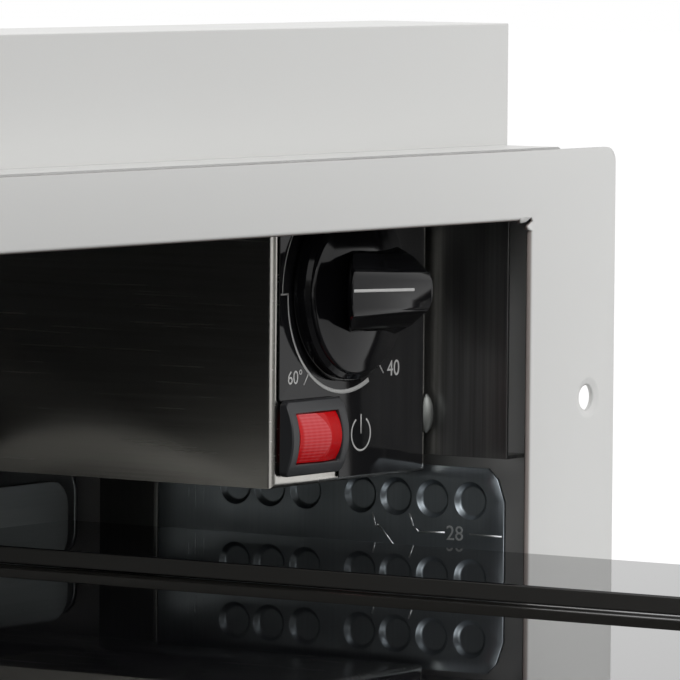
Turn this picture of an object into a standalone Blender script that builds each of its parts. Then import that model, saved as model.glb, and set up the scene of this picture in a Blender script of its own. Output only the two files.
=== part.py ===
"""Built-in warming drawer, modelled with its drawer pulled fully out.

Metres, +X to the right, +Y into the appliance, +Z up. The origin is the centre of the housing's
underside. The front frame's face lies at FRONT_Y, and the drawer closes along +Y.
"""

import math

import bmesh
import bpy
from mathutils import Matrix, Vector

# Sheet metal and fits
SHEET = 0.0012
THIN_SHEET = 0.0008
SEAT = 0.0003
OVERRUN = 0.002
MERGE_DISTANCE = 0.0001

# Housing
HOUSING_DEPTH = 0.560
COVER_TOP = 0.113
TRAY_UPTURN = 0.010
WALL_FLANGE = 0.012

# Front frame
FRAME_WIDTH = 0.595
FRAME_FLANGE = 0.019
FRAME_SIDE = 0.035
FRAME_HEAD = 0.015
OPENING_BOTTOM = 0.004
RETURN_DEPTH = 0.005
RELIEF_SLIT = 0.0016
FRAME_CORNER = 0.0035
FLANGE_HOLE_RADIUS = 0.00275
COUNTERSINK_RADIUS = 0.0045
COUNTERSINK_DEPTH = 0.0007
FLANGE_HOLE_INSET = 0.0105
FLANGE_HOLE_Z = 0.0583

# Rail on top of the housing
RAIL_TOP = 0.140
RAIL_SETBACK = 0.016
RAIL_FLANGE = 0.034
RAIL_FOOT = 0.020

# Cavity
PANEL_BOTTOM = 0.046
PANEL_FOLD = 0.008
PLENUM_DEPTH = 0.078

# Drawer travel and pan
TRAVEL = 0.420
PAN_START = 0.004
PAN_LENGTH = 0.528
PAN_GAP = 0.0165
PAN_SKIRT_BOTTOM = 0.008
PAN_TOP = 0.0157

# Glass base and ledges
BASE_TOP = 0.020
BASE_THICKNESS = 0.004
LEDGE_TOP = 0.028
LEDGE_GLASS = 0.0038
LEDGE_WIDTH = 0.0570
LEDGE_MARGIN = 0.0010
GROOVE_DEPTH = 0.0012
LEDGE_ARRIS = 0.0004

# Drawer back wall
BACK_TOP = 0.037
BACK_CORNER = 0.006

# Telescopic runners
RUNNER_START = 0.006
RUNNER_LENGTH = 0.500
CHANNEL_BOTTOM = 0.0054
CHANNEL_TOP = 0.0236
CHANNEL_REACH = 0.0105
MIDDLE_SHARE = 0.5
LINER_THICKNESS = 0.0007
MIDDLE_REACH = 0.0022
MIDDLE_LIP = 0.0020
MEMBER_DEPTH = 0.0100
LINER_LENGTH = 0.050
LINER_INSET = 0.008
LINER_SIDE = 0.004
INNER_LINER_SIDE = 0.0035

# Runner plates on the cavity sides
PLATE_TOP = 0.0437
PLATE_LENGTH = 0.092
PLATE_FOOT = 0.012
PLATE_CHAMFER = 0.0027
PLATE_CHAMFER_HEIGHT = 0.0042
DIMPLE_RADIUS = 0.0042
DIMPLE_DEPTH = 0.0006
DIMPLE_Z = 0.0364
DIMPLE_STATIONS = (0.0085, 0.0184, 0.0280, 0.0374, 0.0520, 0.0617, 0.0710)
POST_LENGTH = 0.019
POST_REACH = 0.004
REAR_PLATE_GAP = 0.004
REAR_PLATE_TOP = 0.0385
REAR_PLATE_CORNER = 0.0054

# Control box
BOX_WIDTH = 0.0591
BOX_BOTTOM = 0.0425
BOX_FACE_Y = 0.025
BOX_DEPTH = 0.150
BOX_EDGE = 0.0012
LABEL_MARGIN = 0.0016
LABEL_WIDTH = 0.0534
LABEL_FOOT = 0.0010
LABEL_HEADROOM = 0.0032
LABEL_THICKNESS = 0.0003
LABEL_CORNER = 0.0020
NOTCH_WIDTH = 0.0205
NOTCH_HEIGHT = 0.0173
CLIP_INSET = 0.0022
CLIP_RISE = 0.0127
CLIP_HALF_WIDTH = 0.0017
CLIP_HALF_HEIGHT = 0.0046
CLIP_PROUD = 0.0016
CLIP_CUT_SHARE = 0.3

# Thermostat and its knob
KNOB_INSET = 0.0237
KNOB_RISE = 0.0411
SKIRT_RADIUS = 0.0195
SKIRT_HEIGHT = 0.0062
SKIRT_TAPER = 0.0012
SKIRT_STRAIGHT_SHARE = 0.35
GRIP_LENGTH = 0.0370
GRIP_TAIL_WIDTH = 0.0165
GRIP_NOSE_WIDTH = 0.0110
GRIP_HEIGHT = 0.0125
GRIP_EDGE = 0.0012
NOSE_POINTS = 9
KNOB_FILLET = 0.0009
KNOB_STANDOFF = 0.0008
SHAFT_RADIUS = 0.0030
SHAFT_CLEARANCE = 0.00005
SHAFT_GRIP = 0.0100
SHAFT_LENGTH = 0.0240
BUSHING_RADIUS = 0.0050
BUSHING_PLAY = 0.0002
THERMOSTAT_WIDTH = 0.034
THERMOSTAT_HEIGHT = 0.038
THERMOSTAT_DEPTH = 0.026

# Rocker switch
ROCKER_INSET = 0.0108
ROCKER_RISE = 0.0105
BEZEL_WIDTH = 0.0212
BEZEL_HEIGHT = 0.0160
BEZEL_PROUD = 0.0034
BEZEL_ARCH = 0.0016
ARCH_POINTS = 9
BEZEL_RIM = 0.0020
SWITCH_WIDTH = 0.0184
SWITCH_HEIGHT = 0.0126
SWITCH_DEPTH = 0.0160
ROCKER_GAP = 0.0004
ROCKER_PROUD = 0.0018
ROCKER_DROP = 0.0060
ROCKER_RIDGE = 0.0012
ROCKER_THROW = 6.0

# Fan, heater and cut-out in the plenum
FAN_X = -0.060
FAN_Z = 0.0765
FAN_RADIUS = 0.0240
FAN_HUB_RADIUS = 0.0060
FAN_HEIGHT = 0.0120
FAN_SHAFT_SHARE = 0.8
FAN_BLADES = 12
BLADE_INNER_SHARE = 0.55
BLADE_OUTER_SHARE = 0.97
FAN_BLADE_THICKNESS = 0.0010
FAN_PLATE = 0.0010
FAN_GAP = 0.0060
MOTOR_WIDTH = 0.044
MOTOR_HEIGHT = 0.046
MOTOR_DEPTH = 0.024
MOTOR_SHAFT_RADIUS = 0.0015
MOTOR_EDGE = 0.002
GRILLE_ROWS = 5
GRILLE_SLOT = 0.0040
GRILLE_PITCH = 0.0085
GRILLE_WIDTH = 0.044
ELEMENT_RADIUS = 0.0032
ELEMENT_SPREAD = 0.034
ELEMENT_REACH = 0.150
ELEMENT_DEPTH = 0.014
ELEMENT_BEND = 0.014
BEND_POINTS = 6
CLAMP_WIDTH = 0.012
CLAMP_THICKNESS = 0.0015
CLAMP_RING = 0.0016
CUTOUT_X = 0.060
CUTOUT_RADIUS = 0.0080
CUTOUT_HEIGHT = 0.0070

# Mains connection on the rear wall
TERMINAL_INSET = 0.0885
TERMINAL_Z = 0.075
TERMINAL_WIDTH = 0.060
TERMINAL_HEIGHT = 0.040
TERMINAL_DEPTH = 0.022
GLAND_RADIUS = 0.0090
GLAND_BORE = 0.0042
GLAND_INSIDE = 0.0070
GLAND_PROUD = 0.0008
GLAND_FLANGE = 0.0120
GLAND_FLANGE_LENGTH = 0.0030
GLAND_Z = 0.030
GLAND_STEM_PLAY = 0.0003
VENT_ROWS = 4
VENT_SLOT = 0.004
VENT_PITCH = 0.010
VENT_WIDTH = 0.060
VENT_INSET = 0.1085
VENT_Z = 0.062

# Push latch at the back of the cavity
LATCH_X = 0.120
LATCH_WIDTH = 0.024
LATCH_BOTTOM = 0.0180
LATCH_TOP = 0.0400
LATCH_DEPTH = 0.0182
LATCH_PLAY = 0.0003
PLUNGER_RADIUS = 0.0040
PLUNGER_HEAD_RADIUS = 0.0060
PLUNGER_HEAD = 0.0025
PLUNGER_STROKE = 0.0050
PLUNGER_INSIDE = 0.0055
BORE_FLOOR = 0.0012

# Drawer front
FRONT_PANEL_TOP = 0.138
FRONT_PANEL_BOTTOM = 0.002
FRONT_GLASS = 0.004
FRONT_GAP = 0.0022
CARRIER_DEPTH = 0.016
CARRIER_MARGIN = 0.006
CARRIER_FLANGE = 0.014
CARRIER_HEAD = 0.028
GASKET_WIDTH = 0.005
GASKET_INSET = 0.004
BRACKET_LENGTH = 0.020
BRACKET_HEIGHT = 0.034
BRACKET_FOOT = 0.018
BRACKET_INSET = 0.015

ROUND_STEPS = 32
SMALL_STEPS = 16

# Places worked out from the sizes above
FRONT_Y = -HOUSING_DEPTH / 2
REAR_Y = HOUSING_DEPTH / 2
HALF_FRAME = FRAME_WIDTH / 2
HALF_HOUSING = HALF_FRAME - FRAME_FLANGE
HALF_OPENING = HALF_FRAME - FRAME_SIDE
OPENING_TOP = COVER_TOP - FRAME_HEAD
TERMINAL_X = TERMINAL_INSET - HALF_HOUSING
VENT_X = HALF_HOUSING - VENT_INSET
BODY_Y = FRONT_Y + SHEET + SEAT
REAR_INNER_Y = REAR_Y - SHEET
WALL_INNER_X = HALF_HOUSING - SHEET
WALL_TOP = COVER_TOP - SHEET - SEAT
CEILING_Z = WALL_TOP - SHEET - SEAT - THIN_SHEET
PLENUM_Y = REAR_INNER_Y - PLENUM_DEPTH
OPEN_PAN_Y = FRONT_Y + PAN_START - TRAVEL
OPEN_PAN_END_Y = OPEN_PAN_Y + PAN_LENGTH
RUNNER_Y = FRONT_Y + RUNNER_START
PAN_HALF_WIDTH = HALF_OPENING - PAN_GAP
LEDGE_OUTER = PAN_HALF_WIDTH - LEDGE_MARGIN
LEDGE_INNER = LEDGE_OUTER - LEDGE_WIDTH
BOX_FACE = FRONT_Y + BOX_FACE_Y
BOX_INNER = HALF_OPENING - BOX_WIDTH
KNOB_X = BOX_INNER + KNOB_INSET
KNOB_Z = BOX_BOTTOM + KNOB_RISE
ROCKER_X = BOX_INNER + ROCKER_INSET
ROCKER_Z = BOX_BOTTOM + ROCKER_RISE


def clear_scene():
    for item in list(bpy.data.objects):
        bpy.data.objects.remove(item, do_unlink=True)
    for group in list(bpy.data.collections):
        bpy.data.collections.remove(group)


def new_collection(name, hidden):
    group = bpy.data.collections.new(name)
    bpy.context.scene.collection.children.link(group)
    group.hide_render = hidden
    return group


clear_scene()
PARTS = new_collection("warming_drawer", False)
CUTTERS = new_collection("cutters", True)


def finish_material(name, colour, roughness, metallic):
    material = bpy.data.materials.new(name)
    material.use_nodes = True
    shader = material.node_tree.nodes["Principled BSDF"]
    shader.inputs["Base Color"].default_value = (*colour, 1.0)
    shader.inputs["Roughness"].default_value = roughness
    shader.inputs["Metallic"].default_value = metallic
    return material


PAINTED = ("painted_grey", (0.60, 0.60, 0.585), 0.45, 0.2)
ZINC = ("zinc_sheet", (0.55, 0.56, 0.57), 0.40, 0.9)
BRUSHED = ("brushed_steel", (0.50, 0.49, 0.47), 0.32, 1.0)
DARK_STEEL = ("dark_steel", (0.16, 0.16, 0.16), 0.40, 1.0)
BLACK_GLASS = ("black_glass", (0.010, 0.010, 0.011), 0.05, 0.0)
BLACK_GLOSS = ("black_gloss", (0.015, 0.015, 0.016), 0.15, 0.0)
BLACK_MATTE = ("black_plastic", (0.030, 0.030, 0.032), 0.50, 0.0)
RED_LENS = ("red_lens", (0.70, 0.030, 0.040), 0.25, 0.0)
NYLON = ("white_nylon", (0.72, 0.72, 0.70), 0.50, 0.0)
SILICONE = ("gasket_rubber", (0.06, 0.06, 0.06), 0.75, 0.0)
CHROME = ("bright_steel", (0.75, 0.75, 0.76), 0.15, 1.0)


def add_object(name, mesh, finish, hidden=False):
    item = bpy.data.objects.new(name, mesh)
    (CUTTERS if hidden else PARTS).objects.link(item)
    if hidden:
        item.hide_render = True
        item.display_type = "WIRE"
    else:
        material = finish_material(name + "_" + finish[0], *finish[1:])
        mesh.materials.clear()
        mesh.materials.append(material)
    return item


def mesh_from(name, work):
    bmesh.ops.recalc_face_normals(work, faces=work.faces)
    mesh = bpy.data.meshes.new(name)
    work.to_mesh(mesh)
    work.free()
    return mesh


def add_modifier(item, kind, **settings):
    modifier = item.modifiers.new(kind.lower(), kind)
    for key, value in settings.items():
        setattr(modifier, key, value)
    modifier.show_render = modifier.show_viewport
    return modifier


def block(name, low, high, finish=None, rounded=0.0):
    """A box between two corners, with its edges rounded where asked. Without a finish it is a cutter."""
    work = bmesh.new()
    bmesh.ops.create_cube(work, size=1.0)
    low = Vector(low)
    high = Vector(high)
    bmesh.ops.scale(work, vec=high - low, verts=work.verts)
    bmesh.ops.translate(work, vec=(low + high) / 2, verts=work.verts)
    item = add_object(name, mesh_from(name, work), finish, finish is None)
    if rounded:
        add_modifier(item, "BEVEL", width=rounded, segments=2, limit_method="ANGLE")
    return item


def rod(name, centre, direction, radius, length, finish=None, steps=ROUND_STEPS, end_radius=None):
    """A round bar, or a cone, that starts at centre and runs along direction."""
    work = bmesh.new()
    bmesh.ops.create_cone(
        work,
        cap_ends=True,
        segments=steps,
        radius1=radius,
        radius2=radius if end_radius is None else end_radius,
        depth=length,
    )
    bmesh.ops.translate(work, vec=(0, 0, length / 2), verts=work.verts)
    turn = Vector((0, 0, 1)).rotation_difference(Vector(direction)).to_matrix().to_4x4()
    bmesh.ops.transform(work, matrix=Matrix.Translation(centre) @ turn, verts=work.verts)
    return add_object(name, mesh_from(name, work), finish, finish is None)


def folded(name, profile, axis, start, end, finish, thickness=SHEET, side=1):
    """Sheet metal: an open outline, run along one axis and given its thickness on its left, or its right for -1."""
    work = bmesh.new()
    points = []
    for first, second in profile:
        place = {"X": (start, first, second), "Y": (first, start, second)}[axis]
        points.append(work.verts.new(place))
    edges = [work.edges.new(pair) for pair in zip(points, points[1:])]
    run = bmesh.ops.extrude_edge_only(work, edges=edges)
    moved = [part for part in run["geom"] if isinstance(part, bmesh.types.BMVert)]
    step = (end - start, 0, 0) if axis == "X" else (0, end - start, 0)
    bmesh.ops.translate(work, vec=step, verts=moved)
    first, second = (Vector(corner) for corner in profile[:2])
    left = Vector((first.y - second.y, second.x - first.x)) * side
    outward = Vector((0, left.x, left.y)) if axis == "X" else Vector((left.x, 0, left.y))
    work.faces.ensure_lookup_table()
    work.normal_update()
    middle = edge_middle(profile, axis, start, end)
    panel = min(work.faces, key=lambda face: (face.calc_center_median() - middle).length)
    if panel.normal.dot(outward) < 0:
        bmesh.ops.reverse_faces(work, faces=work.faces)
    mesh = bpy.data.meshes.new(name)
    work.to_mesh(mesh)
    work.free()
    item = add_object(name, mesh, finish)
    add_modifier(item, "SOLIDIFY", thickness=thickness, offset=1, use_even_offset=True)
    return item


def edge_middle(profile, axis, start, end):
    """The middle of the sheet's first panel."""
    first = (profile[0][0] + profile[1][0]) / 2
    second = (profile[0][1] + profile[1][1]) / 2
    along = (start + end) / 2
    return Vector((along, first, second) if axis == "X" else (first, along, second))


def plate(name, outline, axis, start, end, finish=None):
    """A flat outline, drawn on the plane square to one axis and run between two places along it."""
    work = bmesh.new()
    corners = []
    for first, second in outline:
        places = {"X": (start, first, second), "Y": (first, start, second), "Z": (first, second, start)}
        corners.append(work.verts.new(places[axis]))
    face = work.faces.new(corners)
    run = bmesh.ops.extrude_face_region(work, geom=[face])
    moved = [part for part in run["geom"] if isinstance(part, bmesh.types.BMVert)]
    step = Vector([end - start if axis == letter else 0.0 for letter in "XYZ"])
    bmesh.ops.translate(work, vec=step, verts=moved)
    return add_object(name, mesh_from(name, work), finish, finish is None)


def rounded_polygon(corners, radius, rounded, points=5):
    """A right-angled outline, run counter-clockwise, whose corners at the listed places are arcs."""
    outline = []
    for index, corner in enumerate(corners):
        if index not in rounded:
            outline.append(corner)
            continue
        here = Vector(corner)
        back = (Vector(corners[index - 1]) - here).normalized()
        ahead = (Vector(corners[(index + 1) % len(corners)]) - here).normalized()
        centre = here + (back + ahead) * radius
        for step in range(points):
            angle = 0.5 * math.pi * step / (points - 1)
            place = centre - (ahead * math.cos(angle) + back * math.sin(angle)) * radius
            outline.append((place.x, place.y))
    return outline


BOTTOM_LEFT, BOTTOM_RIGHT, TOP_RIGHT, TOP_LEFT = range(4)


def rounded_outline(low_x, low_z, high_x, high_z, radius, rounded, points=5):
    """A rectangle with arcs at the listed corners."""
    corners = [(low_x, low_z), (high_x, low_z), (high_x, high_z), (low_x, high_z)]
    return rounded_polygon(corners, radius, rounded, points)


def combine(item, cutter, operation="DIFFERENCE"):
    return add_modifier(item, "BOOLEAN", object=cutter, operation=operation, solver="EXACT")


def mirrored(profile):
    return [(-first, second) for first, second in profile]


def make_round(item):
    """Shades a turned piece smooth, but for its edges."""
    item.data.shade_smooth()
    item.data.set_sharp_from_angle(angle=math.radians(35))


SIDES = (("left", -1), ("right", 1))


# Base tray: one folded sheet with two upturned edges. Its underside is the resting face.
def build_base():
    half = WALL_INNER_X - SEAT
    outline = [(-half, TRAY_UPTURN), (-half, 0), (half, 0), (half, TRAY_UPTURN)]
    folded("base_tray", outline, "Y", BODY_Y, REAR_INNER_Y - SEAT, PAINTED)


# Side walls, with a flange folded in under the top cover
def build_side_walls():
    for label, sign in SIDES:
        outline = [
            (sign * HALF_HOUSING, 0),
            (sign * HALF_HOUSING, WALL_TOP),
            (sign * (HALF_HOUSING - WALL_FLANGE), WALL_TOP),
        ]
        folded("side_wall_" + label, outline, "Y", BODY_Y, REAR_Y, PAINTED, side=sign)


# Rear wall with its vent slots and the gland hole
def build_rear_wall():
    half = WALL_INNER_X - SEAT
    wall_top = WALL_TOP - SHEET - SEAT
    wall = block("rear_wall", (-half, REAR_INNER_Y, 0), (half, REAR_Y, wall_top), ZINC)
    for row in range(VENT_ROWS):
        z = VENT_Z + row * VENT_PITCH
        low = (VENT_X - VENT_WIDTH / 2, REAR_INNER_Y - OVERRUN, z)
        high = (VENT_X + VENT_WIDTH / 2, REAR_Y + OVERRUN, z + VENT_SLOT)
        combine(wall, block("vent_cutter_%d" % row, low, high))
    place = (TERMINAL_X, REAR_INNER_Y - OVERRUN, GLAND_Z)
    hole = rod("gland_hole", place, (0, 1, 0), GLAND_RADIUS, SHEET + 2 * OVERRUN, steps=SMALL_STEPS)
    combine(wall, hole)


def build_top():
    low = (-HALF_HOUSING, BODY_Y, COVER_TOP - SHEET)
    block("top_cover", low, (HALF_HOUSING, REAR_Y, COVER_TOP), PAINTED)
    face_y = FRONT_Y + RAIL_SETBACK
    foot_z = COVER_TOP + SEAT
    outline = [
        (face_y + RAIL_FOOT, foot_z),
        (face_y, foot_z),
        (face_y, RAIL_TOP),
        (face_y + RAIL_FLANGE, RAIL_TOP),
    ]
    folded("top_rail", outline, "X", -HALF_HOUSING, HALF_HOUSING, PAINTED, side=-1)


# Front frame: a punched sheet, with short returns folded back round its opening
def build_front_frame():
    corners = (TOP_RIGHT, TOP_LEFT)
    outline = rounded_outline(-HALF_FRAME, 0, HALF_FRAME, COVER_TOP, FRAME_CORNER, corners, 4)
    frame = plate("front_frame", outline, "Y", FRONT_Y, FRONT_Y + SHEET, PAINTED)
    lip_low = (-HALF_OPENING - SHEET, FRONT_Y + SHEET / 2, OPENING_BOTTOM - SHEET)
    lip_high = (HALF_OPENING + SHEET, FRONT_Y + RETURN_DEPTH, OPENING_TOP + SHEET)
    combine(frame, block("return_block", lip_low, lip_high), "UNION")
    hole_low = (-HALF_OPENING, FRONT_Y - OVERRUN, OPENING_BOTTOM)
    hole_high = (HALF_OPENING, FRONT_Y + RETURN_DEPTH + OVERRUN, OPENING_TOP)
    combine(frame, block("opening_cutter", hole_low, hole_high))
    for label, sign in SIDES:
        for end, z in (("top", OPENING_TOP), ("bottom", OPENING_BOTTOM)):
            x = sign * HALF_OPENING
            low = (x - RELIEF_SLIT, FRONT_Y + SHEET, z - RELIEF_SLIT)
            high = (x + RELIEF_SLIT, FRONT_Y + RETURN_DEPTH + OVERRUN, z + RELIEF_SLIT)
            combine(frame, block("relief_%s_%s" % (end, label), low, high))
        place = (sign * (HALF_FRAME - FLANGE_HOLE_INSET), FRONT_Y - OVERRUN, FLANGE_HOLE_Z)
        through = SHEET + 2 * OVERRUN
        bore = rod("flange_hole_" + label, place, (0, 1, 0), FLANGE_HOLE_RADIUS, through, steps=SMALL_STEPS)
        combine(frame, bore)
        slope = (COUNTERSINK_RADIUS - FLANGE_HOLE_RADIUS) / COUNTERSINK_DEPTH
        wide = COUNTERSINK_RADIUS + slope * OVERRUN
        length = OVERRUN + COUNTERSINK_DEPTH + SEAT
        narrow = FLANGE_HOLE_RADIUS - slope * SEAT
        name = "countersink_" + label
        combine(frame, rod(name, place, (0, 1, 0), wide, length, steps=SMALL_STEPS, end_radius=narrow))


# Cavity lining: two brushed side panels, the ceiling sheet and the fan cover at the back
def build_cavity():
    start = FRONT_Y + RETURN_DEPTH + SEAT
    ceiling_low = (-HALF_OPENING - PANEL_FOLD, start, CEILING_Z)
    ceiling_high = (HALF_OPENING + PANEL_FOLD, PLENUM_Y - SEAT, CEILING_Z + THIN_SHEET)
    block("cavity_ceiling", ceiling_low, ceiling_high, ZINC)
    for label, sign in SIDES:
        outline = [
            (sign * (HALF_OPENING + PANEL_FOLD), PANEL_BOTTOM),
            (sign * HALF_OPENING, PANEL_BOTTOM),
            (sign * HALF_OPENING, CEILING_Z - SEAT),
        ]
        item_name = "cavity_side_" + label
        folded(item_name, outline, "Y", start, PLENUM_Y - SEAT, BRUSHED, THIN_SHEET, side=-sign)


# Fan cover: closes the plenum above the drawer's back, with a slotted grille before the fan
def build_fan_cover():
    outline = [
        (REAR_INNER_Y - SEAT, PANEL_BOTTOM),
        (PLENUM_Y, PANEL_BOTTOM),
        (PLENUM_Y, CEILING_Z),
    ]
    cover = folded("fan_cover", outline, "X", -HALF_OPENING, HALF_OPENING, ZINC, THIN_SHEET, side=-1)
    for row in range(GRILLE_ROWS):
        z = FAN_Z + (row - (GRILLE_ROWS - 1) / 2) * GRILLE_PITCH
        low = (FAN_X - GRILLE_WIDTH / 2, PLENUM_Y - OVERRUN, z - GRILLE_SLOT / 2)
        high = (FAN_X + GRILLE_WIDTH / 2, PLENUM_Y + OVERRUN, z + GRILLE_SLOT / 2)
        combine(cover, block("grille_cutter_%d" % row, low, high))


# Runner plates: punched and dimpled sheets on the cavity floor's edge, which carry the runners
def build_runner_plates():
    start = RUNNER_Y
    end = start + PLATE_LENGTH
    for label, sign in SIDES:
        face = sign * HALF_OPENING
        outline = [
            (start, SHEET + SEAT),
            (end, SHEET + SEAT),
            (end, PLATE_TOP - PLATE_CHAMFER),
            (end - PLATE_CHAMFER, PLATE_TOP),
            (start + PLATE_CHAMFER_HEIGHT, PLATE_TOP),
            (start + PLATE_CHAMFER / 2, PLATE_TOP - PLATE_CHAMFER),
            (start, PLATE_TOP - PLATE_CHAMFER - PLATE_CHAMFER_HEIGHT),
        ]
        item = plate("runner_plate_" + label, outline, "X", face, face + sign * SHEET, ZINC)
        foot_low = (min(face, face + sign * PLATE_FOOT), start, SHEET + SEAT)
        foot_high = (max(face, face + sign * PLATE_FOOT), end, SHEET + SEAT + SHEET)
        combine(item, block("plate_foot_" + label, foot_low, foot_high), "UNION")
        for index, station in enumerate(DIMPLE_STATIONS):
            place = (face - sign * OVERRUN, start + station, DIMPLE_Z)
            name = "dimple_%s_%d" % (label, index)
            depth = OVERRUN + DIMPLE_DEPTH
            combine(item, rod(name, place, (sign, 0, 0), DIMPLE_RADIUS, depth, steps=SMALL_STEPS))


# A folded post stands behind each dimpled plate, and a plain plate runs from it to the back
def build_rear_plates():
    for label, sign in SIDES:
        face = sign * HALF_OPENING
        start = RUNNER_Y + PLATE_LENGTH + SEAT
        end = start + POST_LENGTH
        reach = face + sign * POST_REACH
        low_z = SHEET + SEAT
        low = (min(reach, reach + sign * SHEET), start, low_z)
        high = (max(reach, reach + sign * SHEET), end, PLATE_TOP)
        post = block("runner_post_" + label, low, high, DARK_STEEL)
        web_low = (min(face, reach), start, low_z)
        web_high = (max(face, reach), start + SHEET, PLATE_TOP)
        web = block("post_web_" + label, web_low, web_high)
        combine(post, web, "UNION")
        plate_start = end + REAR_PLATE_GAP
        plate_end = RUNNER_Y + RUNNER_LENGTH
        sizes = (plate_start, low_z, plate_end, REAR_PLATE_TOP, REAR_PLATE_CORNER)
        outline = rounded_outline(*sizes, (TOP_LEFT,), 4)
        item = plate("rear_plate_" + label, outline, "X", face, face + sign * SHEET, ZINC)
        foot_low = (min(face, face + sign * PLATE_FOOT), plate_start, low_z)
        foot_high = (max(face, face + sign * PLATE_FOOT), plate_end, low_z + SHEET)
        combine(item, block("rear_foot_" + label, foot_low, foot_high), "UNION")


# Telescopic runners: three nested channels on each side, sliding on nylon liners
CHANNEL_OUTER = HALF_OPENING - SEAT
CHANNEL_INNER = HALF_OPENING - CHANNEL_REACH
MIDDLE_INNER = CHANNEL_INNER - MIDDLE_LIP
MIDDLE_BOTTOM = CHANNEL_BOTTOM + SHEET + 2 * SEAT + LINER_THICKNESS
MIDDLE_TOP = CHANNEL_TOP - SHEET - 2 * SEAT - LINER_THICKNESS
MIDDLE_OUTER = CHANNEL_OUTER - SHEET - MIDDLE_REACH
MEMBER_BOTTOM = MIDDLE_BOTTOM + SHEET + 2 * SEAT + LINER_THICKNESS
MEMBER_TOP = MIDDLE_TOP - SHEET - 2 * SEAT - LINER_THICKNESS
MEMBER_WEB = PAN_HALF_WIDTH + SEAT
MEMBER_TIP = PAN_HALF_WIDTH + MEMBER_DEPTH


def channel_profile(web, tip, bottom, top):
    return [(tip, bottom), (web, bottom), (web, top), (tip, top)]


def build_runners():
    middle_y = RUNNER_Y - TRAVEL * MIDDLE_SHARE
    member_y = RUNNER_Y - TRAVEL
    for label, sign in SIDES:
        outer = channel_profile(CHANNEL_OUTER, CHANNEL_INNER, CHANNEL_BOTTOM, CHANNEL_TOP)
        middle = channel_profile(MIDDLE_OUTER, MIDDLE_INNER, MIDDLE_BOTTOM, MIDDLE_TOP)
        member = channel_profile(MEMBER_WEB, MEMBER_TIP, MEMBER_BOTTOM, MEMBER_TOP)
        if sign < 0:
            outer = mirrored(outer)
            middle = mirrored(middle)
            member = mirrored(member)
        name = "runner_channel_" + label
        folded(name, outer, "Y", RUNNER_Y, RUNNER_Y + RUNNER_LENGTH, ZINC, side=sign)
        name = "runner_middle_" + label
        folded(name, middle, "Y", middle_y, middle_y + RUNNER_LENGTH, ZINC, side=sign)
        name = "runner_member_" + label
        folded(name, member, "Y", member_y, member_y + RUNNER_LENGTH, ZINC, side=-sign)
        build_liners(label, sign, middle_y)


# Nylon liners: one round the middle member's rear end, one inside its front end
def build_liners(label, sign, middle_y):
    outer_web = MIDDLE_OUTER + SEAT + LINER_THICKNESS
    tip = outer_web - LINER_SIDE - LINER_THICKNESS
    low = MIDDLE_BOTTOM - SEAT - LINER_THICKNESS
    high = MIDDLE_TOP + SEAT + LINER_THICKNESS
    outline = channel_profile(outer_web, tip, low, high)
    rear = middle_y + RUNNER_LENGTH - LINER_INSET
    name = "outer_liner_" + label
    shape = outline if sign > 0 else mirrored(outline)
    folded(name, shape, "Y", rear - LINER_LENGTH, rear, NYLON, LINER_THICKNESS, side=sign)
    inner_web = MIDDLE_OUTER - SHEET - SEAT
    tip = MEMBER_TIP - INNER_LINER_SIDE
    low = MIDDLE_BOTTOM + SHEET + SEAT
    high = MIDDLE_TOP - SHEET - SEAT
    outline = channel_profile(inner_web, tip, low, high)
    front = middle_y + LINER_INSET
    name = "inner_liner_" + label
    shape = outline if sign > 0 else mirrored(outline)
    folded(name, shape, "Y", front, front + LINER_LENGTH, NYLON, LINER_THICKNESS, side=sign)


# Control box: an open-topped sheet box hung in the top right corner of the cavity
def build_control_box():
    box_right = HALF_OPENING - SEAT
    back_y = BOX_FACE + BOX_DEPTH
    low = (BOX_INNER, BOX_FACE, BOX_BOTTOM)
    high = (box_right, back_y, CEILING_Z - SEAT)
    box = block("control_box", low, high, BRUSHED, BOX_EDGE)
    inner_low = (BOX_INNER + SHEET, BOX_FACE + SHEET, BOX_BOTTOM + SHEET)
    inner_high = (box_right - SHEET, back_y - SHEET, CEILING_Z + OVERRUN)
    combine(box, block("box_hollow", inner_low, inner_high))
    combine(box, bushing_hole(BOX_FACE - OVERRUN, BOX_FACE + SHEET + OVERRUN, "box"))
    half_width = SWITCH_WIDTH / 2 + BUSHING_PLAY
    half_height = SWITCH_HEIGHT / 2 + BUSHING_PLAY
    low = (ROCKER_X - half_width, BOX_FACE - OVERRUN, ROCKER_Z - half_height)
    high = (ROCKER_X + half_width, BOX_FACE + SHEET + OVERRUN, ROCKER_Z + half_height)
    combine(box, block("switch_hole", low, high))
    build_label()
    build_box_clip()


def build_label():
    """The glossy plate on the box's face, cut out at its lower left round the switch."""
    low_x = BOX_INNER + LABEL_MARGIN
    high_x = low_x + LABEL_WIDTH
    low_z = BOX_BOTTOM + LABEL_FOOT
    high_z = CEILING_Z - LABEL_HEADROOM
    notch_x = low_x + NOTCH_WIDTH
    notch_z = low_z + NOTCH_HEIGHT
    corners = [
        (notch_x, low_z),
        (high_x, low_z),
        (high_x, high_z),
        (low_x, high_z),
        (low_x, notch_z),
        (notch_x, notch_z),
    ]
    outline = rounded_polygon(corners, LABEL_CORNER, (0, 1, 2, 3, 4))
    back = BOX_FACE - SEAT
    label = plate("control_label", outline, "Y", back, back - LABEL_THICKNESS, BLACK_GLOSS)
    combine(label, bushing_hole(back - LABEL_THICKNESS - OVERRUN, back + OVERRUN, "label"))


def bushing_hole(start, end, label):
    place = (KNOB_X, start, KNOB_Z)
    radius = BUSHING_RADIUS + BUSHING_PLAY
    return rod("bushing_hole_" + label, place, (0, 1, 0), radius, end - start, steps=SMALL_STEPS)


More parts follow.
